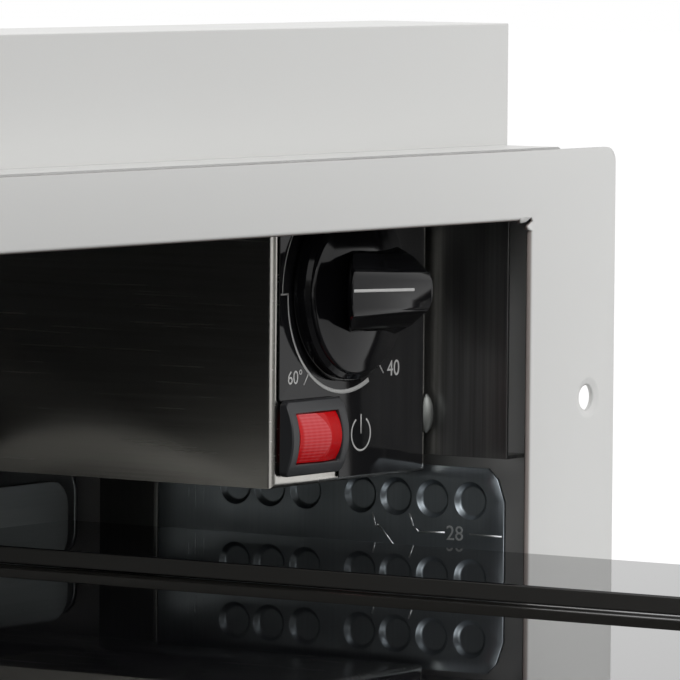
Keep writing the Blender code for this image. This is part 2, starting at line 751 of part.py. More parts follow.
def build_box_clip():
    """The sprung clip beside the label: a domed oval, flat where it meets the face."""
    dome = bmesh.new()
    bmesh.ops.create_uvsphere(dome, u_segments=SMALL_STEPS, v_segments=SMALL_STEPS // 2, radius=1.0)
    depth = CLIP_PROUD / (1 - CLIP_CUT_SHARE)
    bmesh.ops.scale(dome, vec=(CLIP_HALF_WIDTH, depth, CLIP_HALF_HEIGHT), verts=dome.verts)
    cut = -depth * CLIP_CUT_SHARE
    bmesh.ops.bisect_plane(
        dome,
        geom=dome.verts[:] + dome.edges[:] + dome.faces[:],
        plane_co=(0, cut, 0),
        plane_no=(0, 1, 0),
        clear_outer=True,
    )
    bmesh.ops.holes_fill(dome, edges=dome.edges)
    place = (HALF_OPENING - CLIP_INSET, BOX_FACE - SEAT - cut, BOX_BOTTOM + CLIP_RISE)
    bmesh.ops.translate(dome, vec=place, verts=dome.verts)
    clip = add_object("box_clip", mesh_from("box_clip", dome), CHROME)
    make_round(clip)


# Thermostat behind the face, its shaft, and the knob on the shaft
def build_thermostat():
    body_y = BOX_FACE + SHEET + SEAT
    low = (KNOB_X - THERMOSTAT_WIDTH / 2, body_y, KNOB_Z - THERMOSTAT_HEIGHT / 2)
    high = (KNOB_X + THERMOSTAT_WIDTH / 2, body_y + THERMOSTAT_DEPTH, KNOB_Z + THERMOSTAT_HEIGHT / 2)
    body = block("thermostat_body", low, high, ZINC, SHEET)
    bush_start = BOX_FACE - SEAT - LABEL_THICKNESS
    bush_length = body_y + SHEET - bush_start
    place = (KNOB_X, bush_start, KNOB_Z)
    bush = rod("bushing", place, (0, 1, 0), BUSHING_RADIUS, bush_length, steps=SMALL_STEPS)
    combine(body, bush, "UNION")
    knob_back = BOX_FACE - SEAT - LABEL_THICKNESS - KNOB_STANDOFF
    shaft_front = knob_back - SHAFT_GRIP
    bore_length = SHAFT_LENGTH + SHAFT_CLEARANCE + SEAT
    place = (KNOB_X, shaft_front, KNOB_Z)
    bore_radius = SHAFT_RADIUS + SHAFT_CLEARANCE
    shaft_bore = rod("shaft_bore", place, (0, 1, 0), bore_radius, bore_length, steps=SMALL_STEPS)
    combine(body, shaft_bore)
    shaft = rod("thermostat_shaft", place, (0, 1, 0), SHAFT_RADIUS, SHAFT_LENGTH, CHROME, SMALL_STEPS)
    set_origin(shaft, (KNOB_X, knob_back, KNOB_Z))
    build_knob(knob_back, shaft_front)


def set_origin(item, place):
    """Moves an object's origin onto its joint axis, and leaves its shape where it is."""
    item.data.transform(Matrix.Translation(-Vector(place)))
    item.location = place


def build_knob(back_y, shaft_front):
    profile = [
        (0, 0),
        (SKIRT_RADIUS, 0),
        (SKIRT_RADIUS, SKIRT_HEIGHT * SKIRT_STRAIGHT_SHARE),
        (SKIRT_RADIUS - SKIRT_TAPER, SKIRT_HEIGHT - KNOB_FILLET),
        (SKIRT_RADIUS - SKIRT_TAPER - KNOB_FILLET, SKIRT_HEIGHT),
        (0, SKIRT_HEIGHT),
    ]
    work = bmesh.new()
    verts = [work.verts.new((radius, 0, height)) for radius, height in reversed(profile)]
    for pair in zip(verts, verts[1:]):
        work.edges.new(pair)
    mesh = bpy.data.meshes.new("knob")
    work.to_mesh(mesh)
    work.free()
    knob = add_object("knob", mesh, BLACK_GLOSS)
    add_modifier(
        knob,
        "SCREW",
        steps=ROUND_STEPS,
        render_steps=ROUND_STEPS,
        axis="Z",
        use_merge_vertices=True,
        merge_threshold=MERGE_DISTANCE,
    )
    knob.rotation_euler = (math.pi / 2, 0, 0)
    knob.location = (KNOB_X, back_y, KNOB_Z)
    combine(knob, knob_grip(back_y), "UNION")
    place = (KNOB_X, shaft_front - SEAT, KNOB_Z)
    radius = SHAFT_RADIUS + SHAFT_CLEARANCE
    depth = back_y - shaft_front + SEAT + OVERRUN
    combine(knob, rod("knob_bore", place, (0, 1, 0), radius, depth, steps=SMALL_STEPS))


def knob_grip(back_y):
    """The grip bar: wide at its tail, narrower at its round nose, with its edges eased."""
    nose_radius = GRIP_NOSE_WIDTH / 2
    nose_x = KNOB_X + GRIP_LENGTH / 2 - nose_radius
    tail_x = KNOB_X - GRIP_LENGTH / 2
    outline = [(tail_x, KNOB_Z + GRIP_TAIL_WIDTH / 2), (tail_x, KNOB_Z - GRIP_TAIL_WIDTH / 2)]
    for index in range(NOSE_POINTS):
        angle = math.pi * (index / (NOSE_POINTS - 1) - 0.5)
        outline.append((nose_x + nose_radius * math.cos(angle), KNOB_Z + nose_radius * math.sin(angle)))
    grip = plate("knob_grip", outline, "Y", back_y - GRIP_HEIGHT, back_y - SKIRT_HEIGHT / 2)
    add_modifier(grip, "BEVEL", width=GRIP_EDGE, segments=2, limit_method="ANGLE")
    return grip


# Rocker switch: the bezel snaps into the face, and the lit rocker tilts about a vertical axis
def build_switch():
    face = BOX_FACE - SEAT - LABEL_THICKNESS - SEAT
    low_x = ROCKER_X - BEZEL_WIDTH / 2
    high_x = ROCKER_X + BEZEL_WIDTH / 2
    low_z = ROCKER_Z - BEZEL_HEIGHT / 2
    high_z = ROCKER_Z + BEZEL_HEIGHT / 2
    outline = [(face, high_z), (face, low_z)]
    for index in range(ARCH_POINTS):
        share = index / (ARCH_POINTS - 1)
        rise = BEZEL_PROUD - BEZEL_ARCH * (2 * share - 1) ** 2
        outline.append((face - rise, low_z + BEZEL_HEIGHT * share))
    bezel = plate("rocker_bezel", outline, "X", low_x, high_x, BLACK_GLOSS)
    shell_front = face - (BEZEL_PROUD - BEZEL_ARCH) / 2
    low = (ROCKER_X - SWITCH_WIDTH / 2, shell_front, ROCKER_Z - SWITCH_HEIGHT / 2)
    high = (ROCKER_X + SWITCH_WIDTH / 2, face + SWITCH_DEPTH, ROCKER_Z + SWITCH_HEIGHT / 2)
    combine(bezel, block("switch_shell", low, high), "UNION")
    well_x = BEZEL_WIDTH / 2 - BEZEL_RIM
    well_z = BEZEL_HEIGHT / 2 - BEZEL_RIM
    low = (ROCKER_X - well_x, face - BEZEL_PROUD - OVERRUN, ROCKER_Z - well_z)
    high = (ROCKER_X + well_x, face + ROCKER_DROP + ROCKER_GAP, ROCKER_Z + well_z)
    combine(bezel, block("rocker_well", low, high))
    build_rocker(face, well_x - ROCKER_GAP, well_z - ROCKER_GAP)


def build_rocker(face, half_width, half_height):
    crest = face - BEZEL_PROUD - ROCKER_PROUD
    edge = crest + ROCKER_RIDGE
    sweep = half_width * math.radians(ROCKER_THROW)
    pivot_y = face - BEZEL_PROUD / 2
    base = face + ROCKER_DROP - sweep - ROCKER_GAP
    taper = (base - pivot_y) * math.sin(math.radians(ROCKER_THROW)) + ROCKER_GAP
    outline = [
        (ROCKER_X - half_width + taper, base),
        (ROCKER_X - half_width, pivot_y),
        (ROCKER_X - half_width + ROCKER_GAP, edge),
        (ROCKER_X, crest),
        (ROCKER_X + half_width - ROCKER_GAP, edge),
        (ROCKER_X + half_width, pivot_y),
        (ROCKER_X + half_width - taper, base),
    ]
    low_z = ROCKER_Z - half_height
    rocker = plate("rocker", outline, "Z", low_z, ROCKER_Z + half_height, RED_LENS)
    set_origin(rocker, (ROCKER_X, pivot_y, ROCKER_Z))


# Fan: motor on the rear wall, its shaft in the impeller's hub
def build_fan():
    motor_front = REAR_INNER_Y - SEAT - MOTOR_DEPTH
    low = (FAN_X - MOTOR_WIDTH / 2, motor_front, FAN_Z - MOTOR_HEIGHT / 2)
    high = (FAN_X + MOTOR_WIDTH / 2, REAR_INNER_Y - SEAT, FAN_Z + MOTOR_HEIGHT / 2)
    motor = block("fan_motor", low, high, DARK_STEEL, MOTOR_EDGE)
    wheel_back = motor_front - FAN_GAP
    shaft_front = wheel_back - FAN_HEIGHT * FAN_SHAFT_SHARE
    place = (FAN_X, shaft_front, FAN_Z)
    length = motor_front + SHEET - shaft_front
    shaft = rod("motor_shaft", place, (0, 1, 0), MOTOR_SHAFT_RADIUS, length, steps=SMALL_STEPS)
    combine(motor, shaft, "UNION")
    build_impeller(wheel_back)


def build_impeller(back_y):
    place = (FAN_X, back_y, FAN_Z)
    forward = (0, -1, 0)
    wheel = rod("impeller", place, forward, FAN_RADIUS, FAN_PLATE, BLACK_MATTE, SMALL_STEPS)
    hub = rod("impeller_hub", place, forward, FAN_HUB_RADIUS, FAN_HEIGHT, steps=SMALL_STEPS)
    combine(wheel, hub, "UNION")
    for index in range(FAN_BLADES):
        low = (FAN_RADIUS * BLADE_INNER_SHARE, -FAN_HEIGHT, -FAN_BLADE_THICKNESS / 2)
        high = (FAN_RADIUS * BLADE_OUTER_SHARE, -FAN_PLATE / 2, FAN_BLADE_THICKNESS / 2)
        blade = block("blade_%02d" % index, low, high)
        turn = Matrix.Rotation(2 * math.pi * index / FAN_BLADES, 4, "Y")
        blade.data.transform(Matrix.Translation(place) @ turn)
        combine(wheel, blade, "UNION")
    radius = MOTOR_SHAFT_RADIUS + SHAFT_CLEARANCE
    start = (FAN_X, back_y + OVERRUN, FAN_Z)
    depth = FAN_HEIGHT * FAN_SHAFT_SHARE + OVERRUN + SEAT
    combine(wheel, rod("impeller_bore", start, forward, radius, depth, steps=SMALL_STEPS))
    set_origin(wheel, place)


# Heating element: one bent tube beside the fan, held by a clamp on the rear wall
def build_heater():
    y = REAR_INNER_Y - SEAT - ELEMENT_DEPTH
    start_x = FAN_X + MOTOR_WIDTH / 2 + ELEMENT_BEND
    end_x = start_x + ELEMENT_REACH
    top = FAN_Z + ELEMENT_SPREAD / 2
    bottom = FAN_Z - ELEMENT_SPREAD / 2
    points = [(start_x, top), (end_x - ELEMENT_BEND, top)]
    for index in range(1, BEND_POINTS + 1):
        angle = math.pi / 2 * (1 - index / BEND_POINTS)
        x = end_x - ELEMENT_BEND + ELEMENT_BEND * math.cos(angle)
        points.append((x, top - ELEMENT_BEND + ELEMENT_BEND * math.sin(angle)))
    for index in range(BEND_POINTS + 1):
        angle = -math.pi / 2 * index / BEND_POINTS
        x = end_x - ELEMENT_BEND + ELEMENT_BEND * math.cos(angle)
        points.append((x, bottom + ELEMENT_BEND + ELEMENT_BEND * math.sin(angle)))
    points.append((start_x, bottom))
    curve = bpy.data.curves.new("heating_element", "CURVE")
    curve.dimensions = "3D"
    curve.bevel_depth = ELEMENT_RADIUS
    curve.bevel_resolution = 2
    curve.use_fill_caps = True
    spline = curve.splines.new("POLY")
    spline.points.add(len(points) - 1)
    for target, (x, z) in zip(spline.points, points):
        target.co = (x, y, z, 1)
    item = bpy.data.objects.new("heating_element", curve)
    PARTS.objects.link(item)
    curve.materials.append(finish_material("heating_element_tube", *DARK_STEEL[1:]))
    build_clamp(start_x + CLAMP_WIDTH, y, bottom, top)


def build_clamp(x, y, bottom, top):
    """A clamp with a ring round each run of the element, and a back that meets the rear wall."""
    ring = ELEMENT_RADIUS + SEAT + CLAMP_RING
    back_y = REAR_INNER_Y - SEAT
    low = (x, back_y - CLAMP_THICKNESS, bottom - ring)
    high = (x + CLAMP_WIDTH, back_y, top + ring)
    clamp = block("element_clamp", low, high, ZINC)
    for label, z in (("low", bottom), ("high", top)):
        outer_low = (x, y - ring, z - ring)
        outer_high = (x + CLAMP_WIDTH, back_y - CLAMP_THICKNESS / 2, z + ring)
        combine(clamp, block("clamp_arm_" + label, outer_low, outer_high), "UNION")
    for label, z in (("low", bottom), ("high", top)):
        place = (x - OVERRUN, y, z)
        length = CLAMP_WIDTH + 2 * OVERRUN
        radius = ELEMENT_RADIUS + SEAT
        bore = rod("clamp_bore_" + label, place, (1, 0, 0), radius, length, steps=SMALL_STEPS)
        combine(clamp, bore)


# Thermal cut-out: a small disc thermostat on the fan cover's inner face
def build_cutout():
    place = (CUTOUT_X, PLENUM_Y + THIN_SHEET + SEAT, FAN_Z)
    item = rod("thermal_cutout", place, (0, 1, 0), CUTOUT_RADIUS, CUTOUT_HEIGHT, BLACK_MATTE, SMALL_STEPS)
    make_round(item)


# Mains terminal box inside the rear wall, and the gland that a cord would pass
def build_mains():
    box_back = REAR_INNER_Y - SEAT
    low = (TERMINAL_X - TERMINAL_WIDTH / 2, box_back - TERMINAL_DEPTH, TERMINAL_Z - TERMINAL_HEIGHT / 2)
    high = (TERMINAL_X + TERMINAL_WIDTH / 2, box_back, TERMINAL_Z + TERMINAL_HEIGHT / 2)
    block("terminal_box", low, high, BLACK_MATTE, SHEET)
    build_gland()


def build_gland():
    stem_radius = GLAND_RADIUS - GLAND_STEM_PLAY
    place = (TERMINAL_X, REAR_INNER_Y - GLAND_INSIDE, GLAND_Z)
    length = GLAND_INSIDE + SHEET + GLAND_PROUD
    gland = rod("cable_gland", place, (0, 1, 0), stem_radius, length, BLACK_MATTE, SMALL_STEPS)
    place = (TERMINAL_X, REAR_INNER_Y - SEAT - GLAND_FLANGE_LENGTH, GLAND_Z)
    flange = rod("gland_flange", place, (0, 1, 0), GLAND_FLANGE, GLAND_FLANGE_LENGTH, steps=SMALL_STEPS)
    combine(gland, flange, "UNION")
    start = (TERMINAL_X, REAR_INNER_Y - GLAND_INSIDE - OVERRUN, GLAND_Z)
    through = length + 2 * OVERRUN
    combine(gland, rod("gland_bore", start, (0, 1, 0), GLAND_BORE, through, steps=SMALL_STEPS))


# Push latch: a body on the rear wall with a sprung plunger that the closing drawer meets
def build_latch():
    back = REAR_INNER_Y - SEAT
    front = back - LATCH_DEPTH
    low = (LATCH_X - LATCH_WIDTH / 2, front, LATCH_BOTTOM)
    high = (LATCH_X + LATCH_WIDTH / 2, back, LATCH_TOP)
    body = block("latch_body", low, high, BLACK_MATTE, SHEET)
    centre_z = (LATCH_BOTTOM + LATCH_TOP) / 2
    place = (LATCH_X, front - OVERRUN, centre_z)
    depth = LATCH_DEPTH + OVERRUN - BORE_FLOOR
    combine(body, rod("latch_bore", place, (0, 1, 0), PLUNGER_RADIUS + LATCH_PLAY, depth, steps=SMALL_STEPS))
    head_front = front - LATCH_PLAY - PLUNGER_STROKE - PLUNGER_HEAD
    place = (LATCH_X, head_front, centre_z)
    plunger = rod("latch_plunger", place, (0, 1, 0), PLUNGER_HEAD_RADIUS, PLUNGER_HEAD, NYLON, SMALL_STEPS)
    length = PLUNGER_HEAD + PLUNGER_STROKE + LATCH_PLAY + PLUNGER_INSIDE - PLUNGER_HEAD / 2
    place = (LATCH_X, head_front + PLUNGER_HEAD / 2, centre_z)
    stem = rod("plunger_stem", place, (0, 1, 0), PLUNGER_RADIUS, length, steps=SMALL_STEPS)
    combine(plunger, stem, "UNION")
    set_origin(plunger, (LATCH_X, head_front, centre_z))


# Drawer pan: a sheet with turned-down sides. The glass base and the ledges lie on it.
def build_drawer():
    start = OPEN_PAN_Y
    end = OPEN_PAN_END_Y
    half = PAN_HALF_WIDTH
    outline = [(-half, PAN_SKIRT_BOTTOM), (-half, PAN_TOP), (half, PAN_TOP), (half, PAN_SKIRT_BOTTOM)]
    folded("drawer_pan", outline, "Y", start, end, DARK_STEEL, side=-1)
    back_start = end - SHEET
    ledge_end = back_start - SEAT
    base_low = (-LEDGE_OUTER, start, BASE_TOP - BASE_THICKNESS)
    base_high = (LEDGE_OUTER, ledge_end, BASE_TOP)
    block("glass_base", base_low, base_high, BLACK_GLASS, LEDGE_ARRIS)
    split = LEDGE_TOP - LEDGE_GLASS
    for label, sign in SIDES:
        inner = sign * LEDGE_INNER
        recess = inner + sign * GROOVE_DEPTH
        outer = sign * LEDGE_OUTER
        low_z = BASE_TOP + SEAT
        step_z = split - SEAT - GROOVE_DEPTH / 2
        rail_outline = [
            (inner, low_z),
            (outer, low_z),
            (outer, split - SEAT),
            (recess, split - SEAT),
            (recess, step_z),
            (inner, step_z),
        ]
        plate("ledge_rail_" + label, rail_outline, "Y", start, ledge_end, BLACK_GLOSS)
        low = (min(inner, outer), start, split)
        high = (max(inner, outer), ledge_end, LEDGE_TOP)
        block("ledge_glass_" + label, low, high, BLACK_GLASS, LEDGE_ARRIS)
    build_drawer_back(back_start, end)


def build_drawer_back(start, end):
    low_z = PAN_TOP + SEAT
    sizes = (-PAN_HALF_WIDTH, low_z, PAN_HALF_WIDTH, BACK_TOP, BACK_CORNER)
    outline = rounded_outline(*sizes, (TOP_RIGHT, TOP_LEFT))
    plate("drawer_back", outline, "Y", start, end, BRUSHED)


# Drawer front: a folded steel carrier, the black glass on it, two brackets and the gasket
def build_drawer_front():
    back_y = FRONT_Y - FRONT_GAP - TRAVEL
    glass_back = back_y - CARRIER_DEPTH - SEAT
    glass_front = glass_back - FRONT_GLASS
    low = (-HALF_FRAME, glass_front, FRONT_PANEL_BOTTOM)
    high = (HALF_FRAME, glass_back, FRONT_PANEL_TOP)
    block("front_panel", low, high, BLACK_GLASS, SHEET)
    carrier_half = HALF_FRAME - CARRIER_MARGIN
    carrier_low = FRONT_PANEL_BOTTOM + CARRIER_MARGIN / 2
    carrier_high = FRONT_PANEL_TOP - CARRIER_MARGIN
    low = (-carrier_half, back_y - CARRIER_DEPTH, carrier_low)
    carrier = block("front_carrier", low, (carrier_half, back_y, carrier_high), BRUSHED, SHEET)
    hollow_half = carrier_half - CARRIER_FLANGE
    hollow_low = (-hollow_half, back_y - CARRIER_DEPTH + SHEET, LEDGE_TOP + CARRIER_FLANGE)
    hollow_high = (hollow_half, back_y + OVERRUN, carrier_high - CARRIER_HEAD)
    combine(carrier, block("carrier_hollow", hollow_low, hollow_high))
    for label, sign in SIDES:
        build_front_bracket(label, sign, back_y)
    build_gasket(back_y)


def build_front_bracket(label, sign, back_y):
    """An angle with a foot on the pan's skirt side and a web up to the carrier."""
    x = sign * (LEDGE_OUTER - BRACKET_INSET)
    foot_start = OPEN_PAN_Y + SEAT
    low_z = LEDGE_TOP + SEAT
    outline = [
        (back_y + SEAT, low_z),
        (foot_start + BRACKET_LENGTH, low_z),
        (foot_start + BRACKET_LENGTH, low_z + SHEET),
        (back_y + SEAT + SHEET, low_z + BRACKET_HEIGHT),
        (back_y + SEAT, low_z + BRACKET_HEIGHT),
    ]
    item = plate("front_bracket_" + label, outline, "X", x, x + sign * SHEET, DARK_STEEL)
    foot_low = (min(x, x - sign * BRACKET_FOOT), back_y + SEAT, low_z)
    foot_high = (max(x, x - sign * BRACKET_FOOT), foot_start + BRACKET_LENGTH, low_z + SHEET)
    combine(item, block("bracket_foot_" + label, foot_low, foot_high), "UNION")
    flange_low = (min(x, x - sign * BRACKET_FOOT), back_y + SEAT, low_z)
    flange_high = (max(x, x - sign * BRACKET_FOOT), back_y + SEAT + SHEET, low_z + BRACKET_HEIGHT)
    combine(item, block("bracket_flange_" + label, flange_low, flange_high), "UNION")


def build_gasket(back_y):
    face = back_y + SEAT
    outer_half = HALF_OPENING + GASKET_INSET + GASKET_WIDTH
    inner_half = HALF_OPENING + GASKET_INSET
    bottom = LEDGE_TOP
    top = OPENING_TOP + GASKET_INSET
    outline = [
        (-outer_half, bottom),
        (-inner_half, bottom),
        (-inner_half, top),
        (inner_half, top),
        (inner_half, bottom),
        (outer_half, bottom),
        (outer_half, top + GASKET_WIDTH),
        (-outer_half, top + GASKET_WIDTH),
    ]
    plate("front_gasket", outline, "Y", face, face + FRONT_GAP - 2 * SEAT, SILICONE)


build_base()
build_side_walls()
build_rear_wall()
build_top()
build_front_frame()
build_cavity()
build_fan_cover()
build_runner_plates()
build_rear_plates()
build_runners()
build_control_box()
build_thermostat()
build_switch()
build_fan()
build_heater()
build_cutout()
build_mains()
build_latch()
build_drawer()
build_drawer_front()
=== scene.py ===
"""Finishes and fine pieces of a built-in warming drawer, seen from its open front at the left."""
import math

import bmesh
import bpy
from mathutils import Matrix, Vector


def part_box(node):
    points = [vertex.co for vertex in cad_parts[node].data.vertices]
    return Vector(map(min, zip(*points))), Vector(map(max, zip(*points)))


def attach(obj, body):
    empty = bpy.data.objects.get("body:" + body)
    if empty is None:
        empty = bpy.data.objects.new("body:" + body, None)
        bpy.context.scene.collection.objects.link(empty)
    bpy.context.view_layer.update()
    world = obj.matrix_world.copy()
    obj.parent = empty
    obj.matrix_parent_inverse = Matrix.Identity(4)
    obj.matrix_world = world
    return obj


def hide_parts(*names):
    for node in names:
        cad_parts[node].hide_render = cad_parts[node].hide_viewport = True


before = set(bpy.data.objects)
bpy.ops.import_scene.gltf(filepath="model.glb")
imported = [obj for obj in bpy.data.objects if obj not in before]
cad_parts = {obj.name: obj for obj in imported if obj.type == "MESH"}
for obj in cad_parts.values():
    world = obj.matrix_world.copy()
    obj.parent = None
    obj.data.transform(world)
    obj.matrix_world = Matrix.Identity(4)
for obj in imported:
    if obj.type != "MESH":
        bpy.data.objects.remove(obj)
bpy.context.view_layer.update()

# The view: a long lens set left of the open drawer, a little above its base, looking into the
# control corner. Its place comes from the frame's edges, the rail and the runner plate.
VIEW_PLACE = (-0.9722, -1.0706, 0.1689)
VIEW_TURN = math.radians(-55.781)
VIEW_DROP = math.radians(3.789)
VIEW_ROLL = math.radians(0.446)
VIEW_LENS = 360.28
FILM_WIDTH = 36.0

camera = bpy.data.objects.new("view", bpy.data.cameras.new("view"))
camera.data.lens = VIEW_LENS
camera.data.sensor_width = FILM_WIDTH
turn = Matrix.Rotation(VIEW_TURN, 4, "Z")
tilt = Matrix.Rotation(math.pi / 2 - VIEW_DROP, 4, "X")
camera.matrix_world = Matrix.Translation(VIEW_PLACE) @ turn @ tilt @ Matrix.Rotation(VIEW_ROLL, 4, "Z")
bpy.context.scene.collection.objects.link(camera)
bpy.context.scene.camera = camera
bpy.context.scene.view_settings.view_transform = "Standard"

# The studio: white all round for the eye, for gloss and as light, one large soft lamp from the upper
# left, and a plain pale floor that takes the drawer's shadow.
ROOM_LIGHT = 1.0
LAMP_SIZE = 1.6
LAMP_POWER = 24.0
LAMP_PLACE = (-1.6, -2.4, 1.9)
FLOOR_REACH = 6.0
FLOOR_DROP = 0.0004
FLOOR_WHITE = 0.88
FLOOR_LIFT = 0.14


class Signal:
    """One value or colour inside a finish. Sums and products written with it add their own nodes."""

    def __init__(self, finish, socket):
        self.finish = finish
        self.socket = socket

    def __add__(self, other):
        return self.finish.maths("ADD", self, other)

    def __radd__(self, other):
        return self.finish.maths("ADD", other, self)

    def __sub__(self, other):
        return self.finish.maths("SUBTRACT", self, other)

    def __rsub__(self, other):
        return self.finish.maths("SUBTRACT", other, self)

    def __mul__(self, other):
        return self.finish.maths("MULTIPLY", self, other)

    def __rmul__(self, other):
        return self.finish.maths("MULTIPLY", other, self)


class Finish:
    """A node tree while it is being made: a material, or the room's light."""

    def __init__(self, owner):
        owner.use_nodes = True
        self.owner = owner
        self.tree = owner.node_tree

    def node(self, kind, settings=None, values=None, output=0):
        """Adds a node, its settings first and then its sockets' values or links. Returns one output."""
        item = self.tree.nodes.new(kind)
        for key, value in (settings or {}).items():
            setattr(item, key, value)
        self.feed(item, values or {})
        return Signal(self, item.outputs[output]) if item.outputs else None

    def feed(self, item, values):
        for key, value in values.items():
            if isinstance(value, Signal):
                self.tree.links.new(value.socket, item.inputs[key])
            else:
                item.inputs[key].default_value = value

    def maths(self, operation, first, second):
        return self.node("ShaderNodeMath", {"operation": operation}, {0: first, 1: second})

    def clipped(self, value):
        return self.node("ShaderNodeMath", {"operation": "ADD", "use_clamp": True}, {0: value, 1: 0.0})

    def noise(self, stretch, scale, detail=3.0, roughness=0.5):
        """Noise on the piece's own coordinates, stretched by a scale for each axis."""
        place = self.node("ShaderNodeTexCoord", output="Object")
        mapped = self.node("ShaderNodeMapping", values={"Vector": place, "Scale": stretch})
        values = {"Vector": mapped, "Scale": scale, "Detail": detail, "Roughness": roughness}
        return self.node("ShaderNodeTexNoise", values=values)

    def blend(self, share, first, second):
        """A mix of two colours."""
        settings = {"data_type": "RGBA", "clamp_factor": True}
        values = {0: share, 6: first, 7: second}
        return self.node("ShaderNodeMix", settings, values, output=2)

    def shader(self, values):
        self.feed(self.tree.nodes["Principled BSDF"], values)

    def uneven(self, base, spread, scale, stretch=(1, 1, 1)):
        """A roughness that wanders with noise."""
        self.shader({"Roughness": base + self.noise(stretch, scale) * spread})

    def relief(self, height, strength, depth):
        """A bump from a height, fed to the surface."""
        values = {"Height": height, "Strength": strength, "Distance": depth}
        self.shader({"Normal": self.node("ShaderNodeBump", values=values)})

    def along(self, axis):
        """A point's own coordinate on one axis."""
        place = self.node("ShaderNodeTexCoord", output="Object")
        return self.node("ShaderNodeSeparateXYZ", values={"Vector": place}, output=axis)

    def from_centre(self, axis):
        """How far a point lies from the middle plane, on one axis."""
        return self.node("ShaderNodeMath", {"operation": "ABSOLUTE"}, {0: self.along(axis)})


def material(name, colour, roughness, metallic=0.0, **fixed):
    """A new material with its plain values set. Extra values go to the sockets of those names."""
    finish = Finish(bpy.data.materials.new(name))
    finish.shader({"Base Color": (*colour, 1.0), "Roughness": roughness, "Metallic": metallic})
    finish.shader({key.replace("_", " "): value for key, value in fixed.items()})
    return finish


room = Finish(bpy.data.worlds.new("studio"))
bpy.context.scene.world = room.owner
room.tree.nodes.clear()
camera_ray = room.node("ShaderNodeLightPath", output="Is Camera Ray")
glossy_ray = room.node("ShaderNodeLightPath", output="Is Glossy Ray")
through_ray = room.node("ShaderNodeLightPath", output="Is Transmission Ray")
seen = room.clipped(camera_ray + glossy_ray + through_ray)
white_wall = room.node("ShaderNodeBackground", values={"Color": (1, 1, 1, 1), "Strength": 1.0})
soft_light = room.node("ShaderNodeBackground", values={"Color": (1, 1, 1, 1), "Strength": ROOM_LIGHT})
mixed = room.node("ShaderNodeMixShader", values={0: seen, 1: soft_light, 2: white_wall})
room.node("ShaderNodeOutputWorld", values={"Surface": mixed})

lamp = bpy.data.objects.new("soft_lamp", bpy.data.lights.new("soft_lamp", "AREA"))
lamp.data.size = LAMP_SIZE
lamp.data.energy = LAMP_POWER
lamp.location = LAMP_PLACE
lamp.rotation_euler = (-Vector(LAMP_PLACE)).to_track_quat("-Z", "Y").to_euler()
bpy.context.scene.collection.objects.link(lamp)

floor_finish = material("pale_floor", (FLOOR_WHITE,) * 3, 0.9, Specular_IOR_Level=0.0)
to_eye = floor_finish.node("ShaderNodeLightPath", output="Is Camera Ray")
lift = floor_finish.blend(to_eye, (0, 0, 0, 1), (FLOOR_LIFT, FLOOR_LIFT, FLOOR_LIFT, 1))
floor_finish.shader({"Emission Color": lift, "Emission Strength": 1.0})
work = bmesh.new()
bmesh.ops.create_grid(work, x_segments=2, y_segments=2, size=FLOOR_REACH)
bmesh.ops.translate(work, vec=(0, 0, -FLOOR_DROP), verts=work.verts)
floor_mesh = bpy.data.meshes.new("floor")
work.to_mesh(floor_mesh)
work.free()
floor_mesh.materials.append(floor_finish.owner)
floor = bpy.data.objects.new("floor", floor_mesh)
bpy.context.scene.collection.objects.link(floor)

# The housing: base tray, side walls and top cover of folded sheet, powder-coated in a satin light
# grey, with a galvanised back wall that is punched for air and for the mains gland.
GREY = (0.680, 0.680, 0.668)
GREY_SHADE = (0.648, 0.647, 0.636)
# Near-black painted shade on the cavity side of the side walls, how far in it reaches and how it fades.
WALL_PAINTED_SHADE = (0.006, 0.006, 0.006)
SHADE_MARGIN = 0.0007
SHADE_FADE = 4000.0
WALL_INDEX = 1.12
SHEET = 0.0011
SHEET_EDGE = 0.0004
FINE_EDGE = 0.0002
COVER_RISE = 0.00045
COVER_INSET = 0.0010
COVER_BEND = 0.0015
BEND_STEPS = 5
MERGE = 0.00001
SMOOTH_ANGLE = math.radians(32)
FLAT_ANGLE = math.radians(0.5)
LEVEL_FACE = 0.99999
ZINC_LIGHT = (0.58, 0.60, 0.61)
ZINC_DARK = (0.40, 0.42, 0.43)


def level_faces(piece):
    """Keeps large faces flat in shading, and leaves the turn to the small faces of their edges."""
    normals = piece.modifiers.new("level", "WEIGHTED_NORMAL")
    normals.mode = "FACE_AREA"
    normals.weight = 100
    normals.keep_sharp = True


def dress(names, finish, edge=SHEET_EDGE, segments=2):
    """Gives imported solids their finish, and eases their edges with modifiers."""
    for name in names:
        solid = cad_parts[name]
        solid.data.materials.clear()
        solid.data.materials.append(finish.owner)
        solid.data.shade_smooth()
        weld = solid.modifiers.new("weld", "WELD")
        weld.merge_threshold = MERGE
        flat = solid.modifiers.new("flat", "DECIMATE")
        flat.decimate_type = "DISSOLVE"
        flat.angle_limit = FLAT_ANGLE
        bevel = solid.modifiers.new("edge", "BEVEL")
        bevel.width = edge
        bevel.segments = segments
        bevel.limit_method = "ANGLE"
        bevel.angle_limit = SMOOTH_ANGLE
        bevel.harden_normals = True
        level_faces(solid)


def satin_coat(name, shaded_places=None, shade_colour=None):
    """Powder coat: a fine orange peel and a faint change of tone. Some places may get a painted shade
    colour instead.
    """
    finish = material(name, GREY, 0.42)
    tone = finish.noise((1, 1, 1), 9.0, 2.0)
    colour = finish.blend(tone, (*GREY, 1), (*GREY_SHADE, 1))
    if shaded_places:
        colour = finish.blend(shaded_places(finish), colour, (*shade_colour, 1))
    finish.shader({"Base Color": colour})
    finish.uneven(0.38, 0.10, 40.0)
    finish.relief(finish.noise((1, 1, 1), 1400.0, 1.0), 0.10, 0.0001)
    return finish


